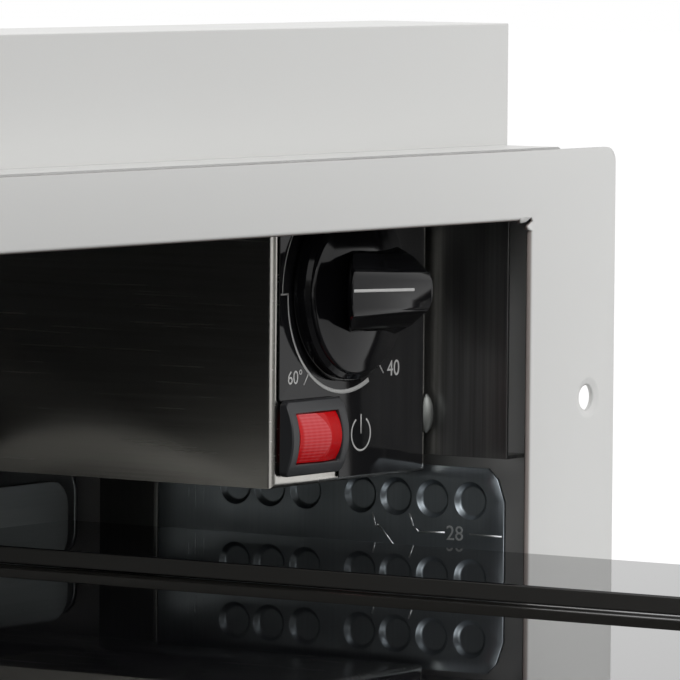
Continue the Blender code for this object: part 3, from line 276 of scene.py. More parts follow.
def wall_shade_places(finish):
    """The cavity's side of a wall, where a near-black painted shade takes the coat's place."""
    inner_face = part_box("side_wall_right")[0].x
    return finish.clipped((inner_face + SHADE_MARGIN - finish.from_centre("X")) * SHADE_FADE)


def add_piece(name, work, finish, body, replaces=(), angle=SMOOTH_ANGLE):
    """Makes an object of a shape, and says what it is made of and what it moves with."""
    mesh = bpy.data.meshes.new(name)
    work.to_mesh(mesh)
    work.free()
    mesh.materials.append(finish.owner)
    mesh.shade_smooth()
    for face in mesh.polygons:
        face.use_smooth = max(abs(part) for part in face.normal) < LEVEL_FACE
    mesh.set_sharp_from_angle(angle=angle)
    piece = bpy.data.objects.new(name, mesh)
    bpy.context.scene.collection.objects.link(piece)
    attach(piece, body)
    if replaces:
        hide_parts(*replaces)
    return piece


def pull(work, edges, move, scale=1.0, centre=(0, 0, 0)):
    """Draws a row of edges out into a band of faces, and returns the new edges."""
    run = bmesh.ops.extrude_edge_only(work, edges=edges)
    verts = [part for part in run["geom"] if isinstance(part, bmesh.types.BMVert)]
    bmesh.ops.translate(work, vec=move, verts=verts)
    if scale != 1.0:
        space = Matrix.Translation(-Vector(centre))
        bmesh.ops.scale(work, vec=(scale,) * 3, space=space, verts=verts)
    return [part for part in run["geom"] if isinstance(part, bmesh.types.BMEdge)]


def face_sheet(work, direction):
    """Turns an open sheet's faces all one way, with most of their area towards a direction."""
    bmesh.ops.recalc_face_normals(work, faces=work.faces)
    towards = Vector(direction)
    if sum(face.normal.dot(towards) * face.calc_area() for face in work.faces) < 0:
        bmesh.ops.reverse_faces(work, faces=work.faces)


def thicken(piece, thickness):
    """Gives a sheet its thickness, behind the face that shows."""
    body = piece.modifiers.new("sheet", "SOLIDIFY")
    body.thickness = thickness
    body.offset = -1
    return body


def cover_sheet():
    """The top cover: its sides are rounded over the walls, and it lies a little above the frame."""
    low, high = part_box("top_cover")
    top = high.z + COVER_RISE
    half_width = high.x - COVER_INSET
    places = []
    for index in range(BEND_STEPS + 1):
        angle = math.pi / 2 * index / BEND_STEPS
        x = half_width - COVER_BEND + COVER_BEND * math.cos(angle)
        places.append((x, top - COVER_BEND + COVER_BEND * math.sin(angle)))
    places += [(-x, z) for x, z in places[::-1]]
    work = bmesh.new()
    verts = [work.verts.new((x, low.y, z)) for x, z in places]
    row = [work.edges.new(pair) for pair in zip(verts, verts[1:])]
    pull(work, row, (0, high.y - low.y, 0))
    face_sheet(work, (0, 0, 1))
    piece = add_piece("cover_sheet", work, grey_coat, "housing", ["top_cover"])
    thicken(piece, SHEET)
    level_faces(piece)


grey_coat = satin_coat("satin_grey")
# The side walls' inner faces are painted near-black, as shade in the gap beside the cavity panels.
wall_coat = satin_coat("satin_grey_wall", wall_shade_places, WALL_PAINTED_SHADE)
wall_coat.shader({"IOR": WALL_INDEX})
dress(["base_tray"], grey_coat)
dress(["side_wall_left", "side_wall_right"], wall_coat)
cover_sheet()


def zinc_sheet(name, light, dark, roughness=0.36):
    """Galvanised sheet: large soft spangles and a fine drag along the rolling direction."""
    finish = material(name, light, roughness, 0.92)
    place = finish.node("ShaderNodeTexCoord", output="Object")
    settings = {"feature": "SMOOTH_F1"}
    spangle = finish.node("ShaderNodeTexVoronoi", settings, {"Vector": place, "Scale": 95.0}, "Color")
    value = finish.node("ShaderNodeSeparateColor", values={"Color": spangle})
    drag = finish.noise((1, 40, 1), 30.0)
    tone = value * 0.45 + drag * 0.40
    finish.shader({"Base Color": finish.blend(tone, (*light, 1), (*dark, 1))})
    finish.shader({"Roughness": roughness - 0.06 + tone * 0.20})
    finish.relief(drag, 0.05, 0.0001)
    return finish


zinc = zinc_sheet("zinc_sheet", ZINC_LIGHT, ZINC_DARK)
dress(["rear_wall"], zinc, FINE_EDGE)

# The rail: one bent sheet spot-welded on the top cover, with a foot, a face and a folded-back top.
# It is coated like the housing and has the round bends of pressed sheet.
RAIL_EDGE = 0.0003
dress(["top_rail"], grey_coat, RAIL_EDGE, 3)

# The front frame: a single punched sheet. Its opening has four short returns folded back, each with
# a round bend, and a hooked relief slit at each corner. Two dimpled screw holes are in its flanges.
FRAME_BEND = 0.0009
FRAME_RETURN = 0.0013
FRAME_CORNER = 0.0035
CORNER_STEPS = 6
TOP_BAND = 0.015
FOOT_BAND = 0.004
OPENING_EASE = 0.0009
FOLD_END = 0.0035
SIDE_FOLD_END = 0.0024
# The hooked slit, from the level fold to the upright one: across and up from the opening's corner.
HOOK = (
    (-0.0034, -0.0005),
    (-0.0015, -0.0003),
    (-0.0003, 0.0001),
    (0.0007, 0.0006),
    (0.0011, 0.0006),
    (0.0016, -0.0002),
    (-0.0003, -0.0012),
    (-0.0004, -0.0020),
)
HOLE_RADIUS = 0.0027
SINK_RADIUS = 0.0047
SINK_DEPTH = 0.0007
SINK_SHARES = (0.25, 0.75, 1.0)
SINK_CURVE = 1.3
HOLE_INSET = 0.0105
HOLE_Z = 0.0583
HOLE_STEPS = 32
# A warm dark painted shade on the opening's folded returns, where it starts and how it fades.
FOLD_PAINTED_SHADE = (0.30, 0.262, 0.245)
FOLD_START = 0.10
FOLD_FADE = 4000.0
OPENING_FADE = 9000.0
ACROSS = (1, 0, 0)
UPRIGHT = (0, 0, 1)
OUTWARD = (0, -1, 0)


def loop_of(work, places):
    """A closed loop of edges through places."""
    verts = [work.verts.new(place) for place in places]
    return [work.edges.new(pair) for pair in zip(verts, verts[1:] + verts[:1])]


def ring_of(work, centre, first, second, radius):
    """A closed loop of edges round a centre, in the plane of two directions."""
    places = []
    for index in range(HOLE_STEPS):
        angle = 2 * math.pi * index / HOLE_STEPS
        reach = Vector(first) * math.cos(angle) + Vector(second) * math.sin(angle)
        places.append(Vector(centre) + reach * radius)
    return loop_of(work, places)


def corner_slit(half_width, top, sign_x, sign_z, middle):
    """The sheet's edge round one corner: the level fold's end, the hooked slit, the upright fold."""
    edge = half_width + OPENING_EASE + FRAME_BEND
    points = [(half_width - FOLD_END, top + FRAME_BEND)]
    points += [(half_width + x, top + z) for x, z in HOOK]
    points.append((edge, top - SIDE_FOLD_END))
    return [(sign_x * x, middle + sign_z * z) for x, z in points]


def frame_outline(low, high):
    """The frame's outer edge: square at the foot, rounded at its two upper corners."""
    outline = [(low.x, low.z), (high.x, low.z)]
    for sign in (1, -1):
        centre = sign * (high.x - FRAME_CORNER)
        for index in range(CORNER_STEPS + 1):
            angle = math.pi / 2 * index / CORNER_STEPS
            angle = angle if sign > 0 else math.pi / 2 - angle
            x = centre + sign * FRAME_CORNER * math.cos(angle)
            outline.append((x, high.z - FRAME_CORNER + FRAME_CORNER * math.sin(angle)))
    return outline


def fold_back(work, edge, half_width, middle):
    """Bends one long edge of the opening round, and runs it straight back."""
    centre = (edge.verts[0].co + edge.verts[1].co) / 2
    if abs(centre.x) < half_width / 2:
        inward = Vector((0, 0, -math.copysign(1, centre.z - middle)))
    else:
        inward = Vector((-math.copysign(1, centre.x), 0, 0))
    row = [edge]
    done = Vector((0, 0, 0))
    for index in range(1, BEND_STEPS + 1):
        angle = math.pi / 2 * index / BEND_STEPS
        depth = FRAME_BEND * (1 - math.cos(angle))
        place = inward * FRAME_BEND * math.sin(angle) + Vector((0, depth, 0))
        row = pull(work, row, place - done)
        done = place
    pull(work, row, (0, FRAME_RETURN - FRAME_BEND, 0))


def press_hole(work, centre, ring):
    """Dishes the sheet round a screw hole, from the dimple's rim to the hole."""
    x, front, z = centre
    for share in SINK_SHARES:
        radius = SINK_RADIUS + (HOLE_RADIUS - SINK_RADIUS) * share
        verts = [vert for edge in ring for vert in edge.verts]
        spread = max(math.hypot(vert.co.x - x, vert.co.z - z) for vert in verts)
        depth = SINK_DEPTH * share ** SINK_CURVE
        now = verts[0].co.y - front
        ring = pull(work, ring, (0, depth - now, 0), radius / spread, (x, front + depth, z))


def frame_sheet():
    low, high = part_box("front_frame")
    front = low.y
    half_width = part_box("cavity_side_right")[0].x
    opening_top = high.z - TOP_BAND
    middle = (opening_top + FOOT_BAND) / 2
    reach = opening_top - middle
    signs = ((1, 1), (1, -1), (-1, -1), (-1, 1))
    corners = [corner_slit(half_width, reach, x, z, middle) for x, z in signs]
    opening = corners[0] + corners[1][::-1] + corners[2] + corners[3][::-1]
    work = bmesh.new()
    outer_edges = loop_of(work, [(x, front, z) for x, z in frame_outline(low, high)])
    inner_edges = loop_of(work, [(x, front, z) for x, z in opening])
    holes = []
    for sign in (-1, 1):
        centre = (sign * (high.x - HOLE_INSET), front, HOLE_Z)
        holes.append((centre, ring_of(work, centre, ACROSS, UPRIGHT, SINK_RADIUS)))
    rims = [edge for centre, ring in holes for edge in ring]
    bmesh.ops.triangle_fill(work, edges=outer_edges + inner_edges + rims, use_beauty=True)
    for edge in [edge for edge in inner_edges if edge.calc_length() > opening_top / 2]:
        fold_back(work, edge, half_width, middle)
    for centre, ring in holes:
        press_hole(work, centre, ring)
    bmesh.ops.remove_doubles(work, verts=work.verts, dist=MERGE)
    face_sheet(work, OUTWARD)
    piece = add_piece("front_frame_sheet", work, frame_coat, "housing", ["front_frame"])
    thicken(piece, SHEET).use_even_offset = True
    level_faces(piece)


def fold_shade_places(finish):
    """The folded edge of the opening, from the start of its bend, which gets a warm dark painted shade.
    """
    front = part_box("front_frame")[0].y
    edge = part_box("cavity_side_right")[0].x + OPENING_EASE + FRAME_BEND
    behind = finish.clipped((finish.along("Y") - front - FRAME_BEND * FOLD_START) * FOLD_FADE)
    within = finish.clipped((edge - finish.from_centre("X")) * OPENING_FADE)
    return behind * within


# The frame's coat paints shade on the folded returns of its opening.
frame_coat = satin_coat("satin_grey_frame", fold_shade_places, FOLD_PAINTED_SHADE)
frame_sheet()

# The cavity's lining: a brushed stainless panel at each side, brushed upright before it was bent,
# and a plain zinc ceiling and fan cover behind.
STEEL = (0.56, 0.56, 0.553)
STEEL_DARK = (0.17, 0.17, 0.168)
PANEL_EDGE = 0.00006
BRUSH = 180.0


def brushed_steel(name, along, light=STEEL, dark=STEEL_DARK, roughness=0.30):
    """Stainless sheet with its brushing along one axis: fine streaks, and broader ones over them."""
    fine = [BRUSH if axis != along else 3.0 for axis in "XYZ"]
    broad = [BRUSH / 6 if axis != along else 1.0 for axis in "XYZ"]
    finish = material(name, light, roughness, 1.0)
    streaks = finish.noise(fine, 8.0, 2.0)
    bands = finish.noise(broad, 7.0, 2.0)
    tone = finish.clipped(streaks * 0.6 + bands * 0.9 - 0.35)
    finish.shader({"Base Color": finish.blend(tone, (*dark, 1), (*light, 1))})
    finish.shader({"Roughness": roughness + streaks * 0.12})
    finish.relief(streaks, 0.06, 0.0001)
    return finish


panel_steel = brushed_steel("panel_steel", "Z")
dress(["cavity_side_left", "cavity_side_right"], panel_steel, PANEL_EDGE)
dress(["cavity_ceiling", "fan_cover"], zinc, FINE_EDGE)

# The control box: a bent box of brushed stainless steel hung in the cavity's right corner. It
# holds the thermostat and the switch, and a sprung clip keeps its face.
BOX_STEEL = (0.66, 0.645, 0.61)
BOX_STEEL_DARK = (0.50, 0.485, 0.455)
BOX_SHEET = 0.0008
BOX_BEND = 0.0015
BOX_LEFT = 0.2022
BOX_RIGHT = 0.2608
BOX_DEPTH = 0.1450
BUSHING_HOLE = 0.0058
SWITCH_HOLE = (0.2060, 0.2223, 0.0475, 0.0585)
CLIP_STEEL = (0.34, 0.35, 0.34)
CLIP_STEEL_DARK = (0.22, 0.23, 0.22)
CLIP_EDGE = 0.0001

knob_low, knob_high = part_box("knob")
KNOB_X = (knob_low.x + knob_high.x) / 2
KNOB_Z = (knob_low.z + knob_high.z) / 2


def bend_back(work, edges, bend, middle):
    """Folds the whole rim of a front face back round a bend, with its corners mitred."""
    done = Vector((0, 0))
    for index in range(1, BEND_STEPS + 1):
        angle = math.pi / 2 * index / BEND_STEPS
        place = Vector((bend * math.sin(angle), bend * (1 - math.cos(angle))))
        edges = pull(work, edges, (0, place.y - done.y, 0))
        for vert in {vert for edge in edges for vert in edge.verts}:
            vert.co.x += math.copysign(place.x - done.x, vert.co.x - middle[0])
            vert.co.z += math.copysign(place.x - done.x, vert.co.z - middle[1])
        done = place
    return edges


def box_shell():
    low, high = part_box("control_box")
    left = BOX_LEFT + BOX_BEND
    right = BOX_RIGHT - BOX_BEND
    bottom = low.z + BOX_BEND
    work = bmesh.new()
    corners = ((left, bottom), (right, bottom), (right, high.z), (left, high.z))
    rim = loop_of(work, [(x, low.y, z) for x, z in corners])
    bushing = ring_of(work, (KNOB_X, low.y, KNOB_Z), ACROSS, UPRIGHT, BUSHING_HOLE)
    x_low, x_high, z_low, z_high = SWITCH_HOLE
    corners = ((x_low, z_low), (x_high, z_low), (x_high, z_high), (x_low, z_high))
    switch = loop_of(work, [(x, low.y, z) for x, z in corners])
    bmesh.ops.triangle_fill(work, edges=rim + bushing + switch, use_beauty=True)
    folded = [edge for edge in rim if min(vert.co.z for vert in edge.verts) < high.z - MERGE]
    middle = ((left + right) / 2, (bottom + high.z) / 2)
    ends = bend_back(work, folded, BOX_BEND, middle)
    for vert in work.verts:
        vert.co.z = min(vert.co.z, high.z)
    pull(work, ends, (0, BOX_DEPTH, 0))
    face_sheet(work, OUTWARD)
    piece = add_piece("control_box_shell", work, box_steel, "housing", ["control_box"])
    thicken(piece, BOX_SHEET)
    level_faces(piece)


box_steel = brushed_steel("box_steel", "Y", BOX_STEEL, BOX_STEEL_DARK, 0.19)
box_shell()
clip_steel = brushed_steel("clip_steel", "Z", CLIP_STEEL, CLIP_STEEL_DARK, 0.42)
dress(["box_clip"], clip_steel, CLIP_EDGE)
dress(["thermostat_body"], zinc, FINE_EDGE)
dress(["thermostat_shaft"], clip_steel, FINE_EDGE)

# The label: a gloss black plate on the box's face, with the heat scale printed in pale grey: a thin
# line, a band that widens to the hot end, two ticks with their numbers, and the on-off sign.
GLOSS_INDEX = 1.38
INK = (0.60, 0.60, 0.59)
INK_WORN = (0.52, 0.52, 0.51)
INK_HEIGHT = 0.00006
RING_RADIUS = 0.02250
RING_WIDTH = 0.00022
BAND_INNER = 0.02040
BAND_START_WIDTH = 0.00030
BAND_END_WIDTH = 0.00105
BAND_DRIFT = 0.0012
BAND_END = math.radians(297)
HOT_TICK = math.radians(233.5)
COOL_TICK = math.radians(310.2)
TICK_START = 0.0214
TICK_END = 0.0244
TICK_WIDTH = RING_WIDTH * 1.6
RING_OVERRUN = 0.0008
SIGN_RADIUS = 0.0036
SIGN_WIDTH = 0.00042
SIGN_PLACE = (0.2344, 0.0524)
SIGN_GAP = math.radians(32)
SIGN_STEM = 0.0006
NUMBER_HEIGHT = 0.0030
LABEL_BLACK = (0.010, 0.010, 0.011)
LABEL_LEFT = 0.20365
LABEL_CORNER = 0.0007
NOTCH_X = 0.2262
NOTCH_Z = 0.0609
LETTER_BODY = 0.004
HOT_PLACE = (0.2067, 0.0644)
COOL_PLACE = (0.2443, 0.0642)
COOL_HEIGHT = 0.00339
BAND_STEPS = 48
LABEL_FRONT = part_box("control_label")[0].y


def label_plate():
    low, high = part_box("control_label")
    ease = LABEL_CORNER
    soft = ease * 0.3
    outline = [
        (NOTCH_X, low.z),
        (high.x - ease, low.z),
        (high.x - soft, low.z + soft),
        (high.x, low.z + ease),
        (high.x, high.z),
        (LABEL_LEFT, high.z),
        (LABEL_LEFT, NOTCH_Z + ease),
        (LABEL_LEFT + soft, NOTCH_Z + soft),
        (LABEL_LEFT + ease, NOTCH_Z),
        (NOTCH_X, NOTCH_Z),
    ]
    work = bmesh.new()
    rim = loop_of(work, [(x, low.y, z) for x, z in outline])
    bushing = ring_of(work, (KNOB_X, low.y, KNOB_Z), ACROSS, UPRIGHT, BUSHING_HOLE)
    bmesh.ops.triangle_fill(work, edges=rim + bushing, use_beauty=True)
    face_sheet(work, OUTWARD)
    piece = add_piece("label_plate", work, black_gloss, "housing", ["control_label"])
    thicken(piece, high.y - low.y)
    level_faces(piece)


black_gloss = material("black_gloss", LABEL_BLACK, 0.06, 0.0, IOR=GLOSS_INDEX)
black_gloss.uneven(0.05, 0.05, 60.0)
label_plate()
ink = material("pale_ink", INK, 0.5)
ink.shader({"Base Color": ink.blend(ink.noise((1, 1, 1), 900.0), (*INK, 1), (*INK_WORN, 1))})


def from_knob(radius, angle):
    """A place on the label, from the knob's centre."""
    return Vector((KNOB_X + radius * math.cos(angle), 0, KNOB_Z + radius * math.sin(angle)))


def print_band(work, centre, start, end, inner, width, drift=0.0, width_end=None):
    """A flat band round a centre on the label, whose radius and width may change along it."""
    x, z = centre
    rows = []
    for index in range(BAND_STEPS + 1):
        share = index / BAND_STEPS
        angle = start + (end - start) * share
        near = inner + drift * share
        far = near + width + ((width_end or width) - width) * share
        for radius in (near, far):
            across = x + radius * math.cos(angle)
            rows.append(work.verts.new((across, LABEL_FRONT - INK_HEIGHT, z + radius * math.sin(angle))))
    for index in range(BAND_STEPS):
        first = 2 * index
        work.faces.new((rows[first], rows[first + 1], rows[first + 3], rows[first + 2]))


def strip(work, first, last, out, width):
    """A straight flat strip between two places, on a face that looks out."""
    along = (last - first).normalized()
    side = Vector(out).cross(along) * width / 2
    corners = (first - side, last - side, last + side, first + side)
    work.faces.new([work.verts.new(place) for place in corners])


def print_line(work, first, last, width):
    """A straight printed line between two places on the label."""
    lift = Vector((0, LABEL_FRONT - INK_HEIGHT, 0))
    strip(work, first + lift, last + lift, OUTWARD, width)


def turn_each(work, direction):
    """Turns flat marks, each by itself, to face a direction."""
    towards = Vector(direction)
    for face in work.faces:
        face.normal_update()
        if face.normal.dot(towards) < 0:
            face.normal_flip()


def add_print(name, work):
    """Turns flat printed faces to the front and gives them a little body."""
    bmesh.ops.remove_doubles(work, verts=work.verts, dist=MERGE / 10)
    turn_each(work, OUTWARD)
    piece = add_piece(name, work, ink, "housing")
    thicken(piece, INK_HEIGHT / 2)


def lettering(name, text, height, place, right, finish, body):
    """Plain numbers as a mesh: upright, running right, their lower left corner at a place."""
    curve = bpy.data.curves.new(name, "FONT")
    curve.body = text
    curve.extrude = LETTER_BODY
    maker = bpy.data.objects.new(name + "_maker", curve)
    bpy.context.scene.collection.objects.link(maker)
    bpy.context.view_layer.update()
    graph = bpy.context.evaluated_depsgraph_get()
    mesh = bpy.data.meshes.new_from_object(maker.evaluated_get(graph))
    bpy.data.objects.remove(maker)
    work = bmesh.new()
    work.from_mesh(mesh)
    bpy.data.meshes.remove(mesh)
    low = Vector([min(vert.co[axis] for vert in work.verts) for axis in range(3)])
    high = Vector([max(vert.co[axis] for vert in work.verts) for axis in range(3)])
    scale = height / (high.y - low.y)
    flat = INK_HEIGHT / (high.z - low.z)
    right = Vector(right)
    up = Vector(UPRIGHT)
    turned_axes = Matrix((right, up, right.cross(up))).transposed().to_4x4()
    bmesh.ops.translate(work, vec=-low, verts=work.verts)
    bmesh.ops.scale(work, vec=(scale, scale, flat), verts=work.verts)
    bmesh.ops.transform(work, matrix=Matrix.Translation(place) @ turned_axes, verts=work.verts)
    bmesh.ops.remove_doubles(work, verts=work.verts, dist=MERGE / 10)
    add_piece(name, work, finish, body)


centre = (KNOB_X, KNOB_Z)
work = bmesh.new()
print_band(work, centre, math.pi / 2, math.pi, RING_RADIUS, RING_WIDTH)
print_band(work, centre, math.pi, BAND_END, BAND_INNER, BAND_START_WIDTH, BAND_DRIFT, BAND_END_WIDTH)
ring_end = from_knob(RING_RADIUS + RING_OVERRUN, math.pi)
print_line(work, ring_end, from_knob(BAND_INNER, math.pi), TICK_WIDTH)
for angle in (HOT_TICK, COOL_TICK):
    print_line(work, from_knob(TICK_START, angle), from_knob(TICK_END, angle), TICK_WIDTH)
add_print("heat_scale", work)
sign_middle = Vector((SIGN_PLACE[0], 0, SIGN_PLACE[1]))
sign_top = sign_middle + Vector((0, 0, SIGN_RADIUS + SIGN_STEM))
sign_start = math.pi / 2 + SIGN_GAP
sign_end = 2.5 * math.pi - SIGN_GAP
work = bmesh.new()
print_band(work, SIGN_PLACE, sign_start, sign_end, SIGN_RADIUS - SIGN_WIDTH / 2, SIGN_WIDTH)
print_line(work, sign_top, sign_middle, SIGN_WIDTH)
add_print("power_sign", work)
numbers = (
    ("number_60", "60°", NUMBER_HEIGHT, HOT_PLACE),
    ("number_40", "40", COOL_HEIGHT, COOL_PLACE),
)
for name, text, height, (x, z) in numbers:
    place = (x, LABEL_FRONT - INK_HEIGHT / 4, z)
    lettering(name, text, height, place, ACROSS, ink, "housing")

# The thermostat knob: one gloss black moulding. A shallow turned skirt carries a grip that flares
# into it, flat on top with a filled pale pointer line, and presses onto the shaft.
SKIRT_BASE = 0.0195
SKIRT_FACE = 0.0180
SKIRT_DEPTH = 0.0042
SKIRT_CROWN = 0.0032
SKIRT_ROUND = 0.0010
SKIRT_LIP = 0.0016
SKIRT_RECESS = 0.0004
SKIRT_EASE = 0.0005
ROUND_STEPS = 5
CROWN_STEPS = 8
GRIP_DEPTH = 0.0125
# The grip's levels: depth, reach of the tail, reach of the nose, width at the tail, at the nose.
GRIP_ROWS = (
    (0.0046, 0.0072, 0.0168, 0.0180, 0.0190),
    (0.0068, 0.0098, 0.0166, 0.0170, 0.0168),
    (0.0086, 0.0122, 0.0162, 0.0160, 0.0150),
    (0.0102, 0.0145, 0.0157, 0.0134, 0.0120),
    (0.0115, 0.0157, 0.0152, 0.0108, 0.0098),
    (0.0123, 0.0160, 0.0150, 0.0094, 0.0087),
    (0.0125, 0.0157, 0.0147, 0.0088, 0.0081),
)
GRIP_TILT = math.radians(1.8)
NOSE_STEPS = 16
NOSE_ROUND = 0.55
TAIL_STEPS = 8
TAIL_ROUND = 0.25
POINTER_START = -0.0154
POINTER_END = 0.0077
POINTER_WIDTH = 0.00075
POINTER_RISE = 0.0006
POINTER_BODY = 0.0006
POINTER_SINK = 0.0002
TURN_STEPS = 96
KNOB_BLACK = (0.005, 0.005, 0.006)
KNOB_INDEX = 1.38


def turned(work, profile, centre):
    """A profile of radius and depth, spun about the line that runs forward from a centre."""
    x, y, z = centre
    verts = [work.verts.new((x + radius, y - depth, z)) for radius, depth in profile]
    edges = [work.edges.new(pair) for pair in zip(verts, verts[1:])]
    bmesh.ops.spin(
        work,
        geom=verts + edges,
        cent=centre,
        axis=(0, 1, 0),
        angle=2 * math.pi,
        steps=TURN_STEPS,
        use_merge=True,
    )
    bmesh.ops.remove_doubles(work, verts=work.verts, dist=MERGE)


def grip_row(work, centre, row):
    """One level of the grip: a bar with a round nose and a flatter tail, as a loop of points."""
    depth, tail, nose, tail_width, nose_width = row
    x, y, z = centre
    places = []
    across = nose_width / 2
    for index in range(NOSE_STEPS + 1):
        angle = math.pi * (index / NOSE_STEPS - 0.5)
        bulge = across * NOSE_ROUND
        places.append((nose - bulge + bulge * math.cos(angle), across * math.sin(angle)))
    across = tail_width / 2
    for index in range(TAIL_STEPS + 1):
        angle = math.pi * (0.5 + index / TAIL_STEPS)
        bulge = across * TAIL_ROUND
        places.append((-tail + bulge + bulge * math.cos(angle), across * math.sin(angle)))
    return [work.verts.new((x + right, y - depth, z + up)) for right, up in places]


def knob_moulding():
    back = knob_high.y
    centre = (KNOB_X, back, KNOB_Z)
    profile = [
        (0.0, SKIRT_RECESS),
        (SKIRT_BASE - SKIRT_LIP, SKIRT_RECESS),
        (SKIRT_BASE - SKIRT_LIP, 0.0),
        (SKIRT_BASE, 0.0),
        (SKIRT_BASE, SKIRT_DEPTH * 0.25),
        (SKIRT_BASE - SKIRT_EASE, SKIRT_DEPTH * 0.6),
    ]
    for index in range(ROUND_STEPS + 1):
        angle = math.pi / 2 * index / ROUND_STEPS
        radius = SKIRT_FACE - SKIRT_ROUND + SKIRT_ROUND * math.cos(angle)
        profile.append((radius, SKIRT_DEPTH - SKIRT_ROUND + SKIRT_ROUND * math.sin(angle)))
    for index in range(1, CROWN_STEPS + 1):
        share = 1 - index / CROWN_STEPS
        crown = SKIRT_CROWN * (1 - share * share)
        profile.append(((SKIRT_FACE - SKIRT_ROUND) * share, SKIRT_DEPTH + crown))
    work = bmesh.new()
    turned(work, profile, centre)
    rows = [grip_row(work, centre, row) for row in GRIP_ROWS]
    for low_row, high_row in zip(rows, rows[1:]):
        count = len(low_row)
        for index in range(count):
            after = (index + 1) % count
            work.faces.new((low_row[index], low_row[after], high_row[after], high_row[index]))
    work.faces.new(rows[-1])
    work.faces.new(rows[0][::-1])
    grip = [vert for row in rows for vert in row]
    bmesh.ops.rotate(work, cent=centre, matrix=Matrix.Rotation(GRIP_TILT, 3, "Y"), verts=grip)
    bmesh.ops.recalc_face_normals(work, faces=work.faces)
    add_piece("knob_moulding", work, knob_gloss, "control_knob", ["knob"])


def block(work, centre, size):
    """A box of a size round a centre."""
    bmesh.ops.create_cube(work, size=1.0)
    bmesh.ops.scale(work, vec=size, verts=work.verts)
    bmesh.ops.translate(work, vec=centre, verts=work.verts)


def ease_edges(work, parts, width, segments):
    """Rounds edges off with a bevel."""
    bmesh.ops.bevel(
        work,
        geom=parts,
        offset=width,
        segments=segments,
        profile=0.5,
        affect="EDGES",
        material=-1,
    )


def pointer_line():
    """The pale filling of the groove along the grip's top."""
    centre = (
        KNOB_X + (POINTER_START + POINTER_END) / 2,
        knob_high.y - GRIP_DEPTH + POINTER_SINK,
        KNOB_Z + POINTER_RISE,
    )
    work = bmesh.new()
    block(work, centre, (POINTER_END - POINTER_START, POINTER_BODY, POINTER_WIDTH))
    ease_edges(work, work.edges[:] + work.verts[:], POINTER_WIDTH * 0.3, 3)
    tilted = Matrix.Rotation(GRIP_TILT, 3, "Y")
    bmesh.ops.rotate(work, cent=centre, matrix=tilted, verts=work.verts)
    add_piece("pointer_line", work, ink, "control_knob")


knob_gloss = material("knob_gloss", KNOB_BLACK, 0.08, 0.0, IOR=KNOB_INDEX)
knob_gloss.uneven(0.07, 0.08, 120.0)
knob_moulding()
pointer_line()

# The rocker switch: a black bezel snapped into the face, bowed from top to bottom, round a lit red
# rocker of clear ribbed plastic with two facets that meet in a ridge.
BEZEL_SATIN = (0.030, 0.031, 0.034)
RED = (0.50, 0.001, 0.003)
# A pale pink for the painted sheen on the rocker's left facet.
RED_PAINTED_SHEEN = (0.62, 0.09, 0.10)
LENS_BOW = 0.0022
RIDGE_SHARE = 0.62
RIDGE_CURVE = 110.0
LENS_PROUD = 0.0013
LENS_PEAK = 1.15
LENS_TAPER = 0.94
LENS_DEPTH = 0.0050
WELL_INSET = 0.0004
WELL_DEPTH = 0.05
LENS_INSET = 0.0009
LENS_SINK = 0.0006
LENS_SHADE = 0.0012
LENS_ROWS = 24
LENS_COLUMNS = 30
LENS_SHARP = math.radians(60)
RIB_RATE = 9000.0
COLUMN_RATE = 3600.0
BEZEL_CORNER = 0.0013
BEZEL_ROWS = 16
BEZEL_EDGE = 0.0004

bezel_satin = material("bezel_satin", BEZEL_SATIN, 0.32)
bezel_satin.uneven(0.28, 0.12, 500.0)
bezel_satin.relief(bezel_satin.noise((1, 1, 1), 3000.0, 1.0), 0.15, 0.00005)


def bowed(z, low, high, depth):
    """How far a bowed face stands behind its middle, at a height between two ends."""
    share = (z - low) / (high - low) * 2 - 1
    return depth * share * share


def bezel_piece():
    low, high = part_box("rocker_bezel")
    rocker_low, rocker_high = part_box("rocker")
    base = LABEL_FRONT
    deep = base - low.y
    work = bmesh.new()
    middle = Vector((low.x + high.x, low.y + base, low.z + high.z)) / 2
    block(work, middle, (high.x - low.x, deep, high.z - low.z))
    upright = [edge for edge in work.edges if abs(edge.verts[0].co.y - edge.verts[1].co.y) > deep / 2]
    ease_edges(work, upright, BEZEL_CORNER, 5)
    for index in range(1, BEZEL_ROWS):
        z = low.z + (high.z - low.z) * index / BEZEL_ROWS
        cut = work.verts[:] + work.edges[:] + work.faces[:]
        bmesh.ops.bisect_plane(work, geom=cut, plane_co=(0, 0, z), plane_no=UPRIGHT)
    for vert in work.verts:
        if vert.co.y < base - deep / 2:
            vert.co.y += bowed(vert.co.z, low.z, high.z, LENS_BOW)
    bmesh.ops.recalc_face_normals(work, faces=work.faces)
    piece = add_piece("bezel_moulding", work, bezel_satin, "housing", ["rocker_bezel"])
    cutter_work = bmesh.new()
    middle = (rocker_low + rocker_high) / 2
    size = rocker_high - rocker_low
    well = (size.x - WELL_INSET, WELL_DEPTH, size.z - WELL_INSET)
    block(cutter_work, (middle.x, base, middle.z), well)
    cutter_mesh = bpy.data.meshes.new("well_cutter")
    cutter_work.to_mesh(cutter_mesh)
    cutter_work.free()
    cutter = bpy.data.objects.new("well_cutter", cutter_mesh)
    bpy.context.scene.collection.objects.link(cutter)
    hole = piece.modifiers.new("well", "BOOLEAN")
    hole.object = cutter
    edge = piece.modifiers.new("edge", "BEVEL")
    edge.width = BEZEL_EDGE
    edge.segments = 3
    edge.limit_method = "ANGLE"
    edge.angle_limit = SMOOTH_ANGLE
    bpy.context.view_layer.update()
    graph = bpy.context.evaluated_depsgraph_get()
    made = bpy.data.meshes.new_from_object(piece.evaluated_get(graph))
    piece.modifiers.clear()
    piece.data = made
    bpy.data.objects.remove(cutter)


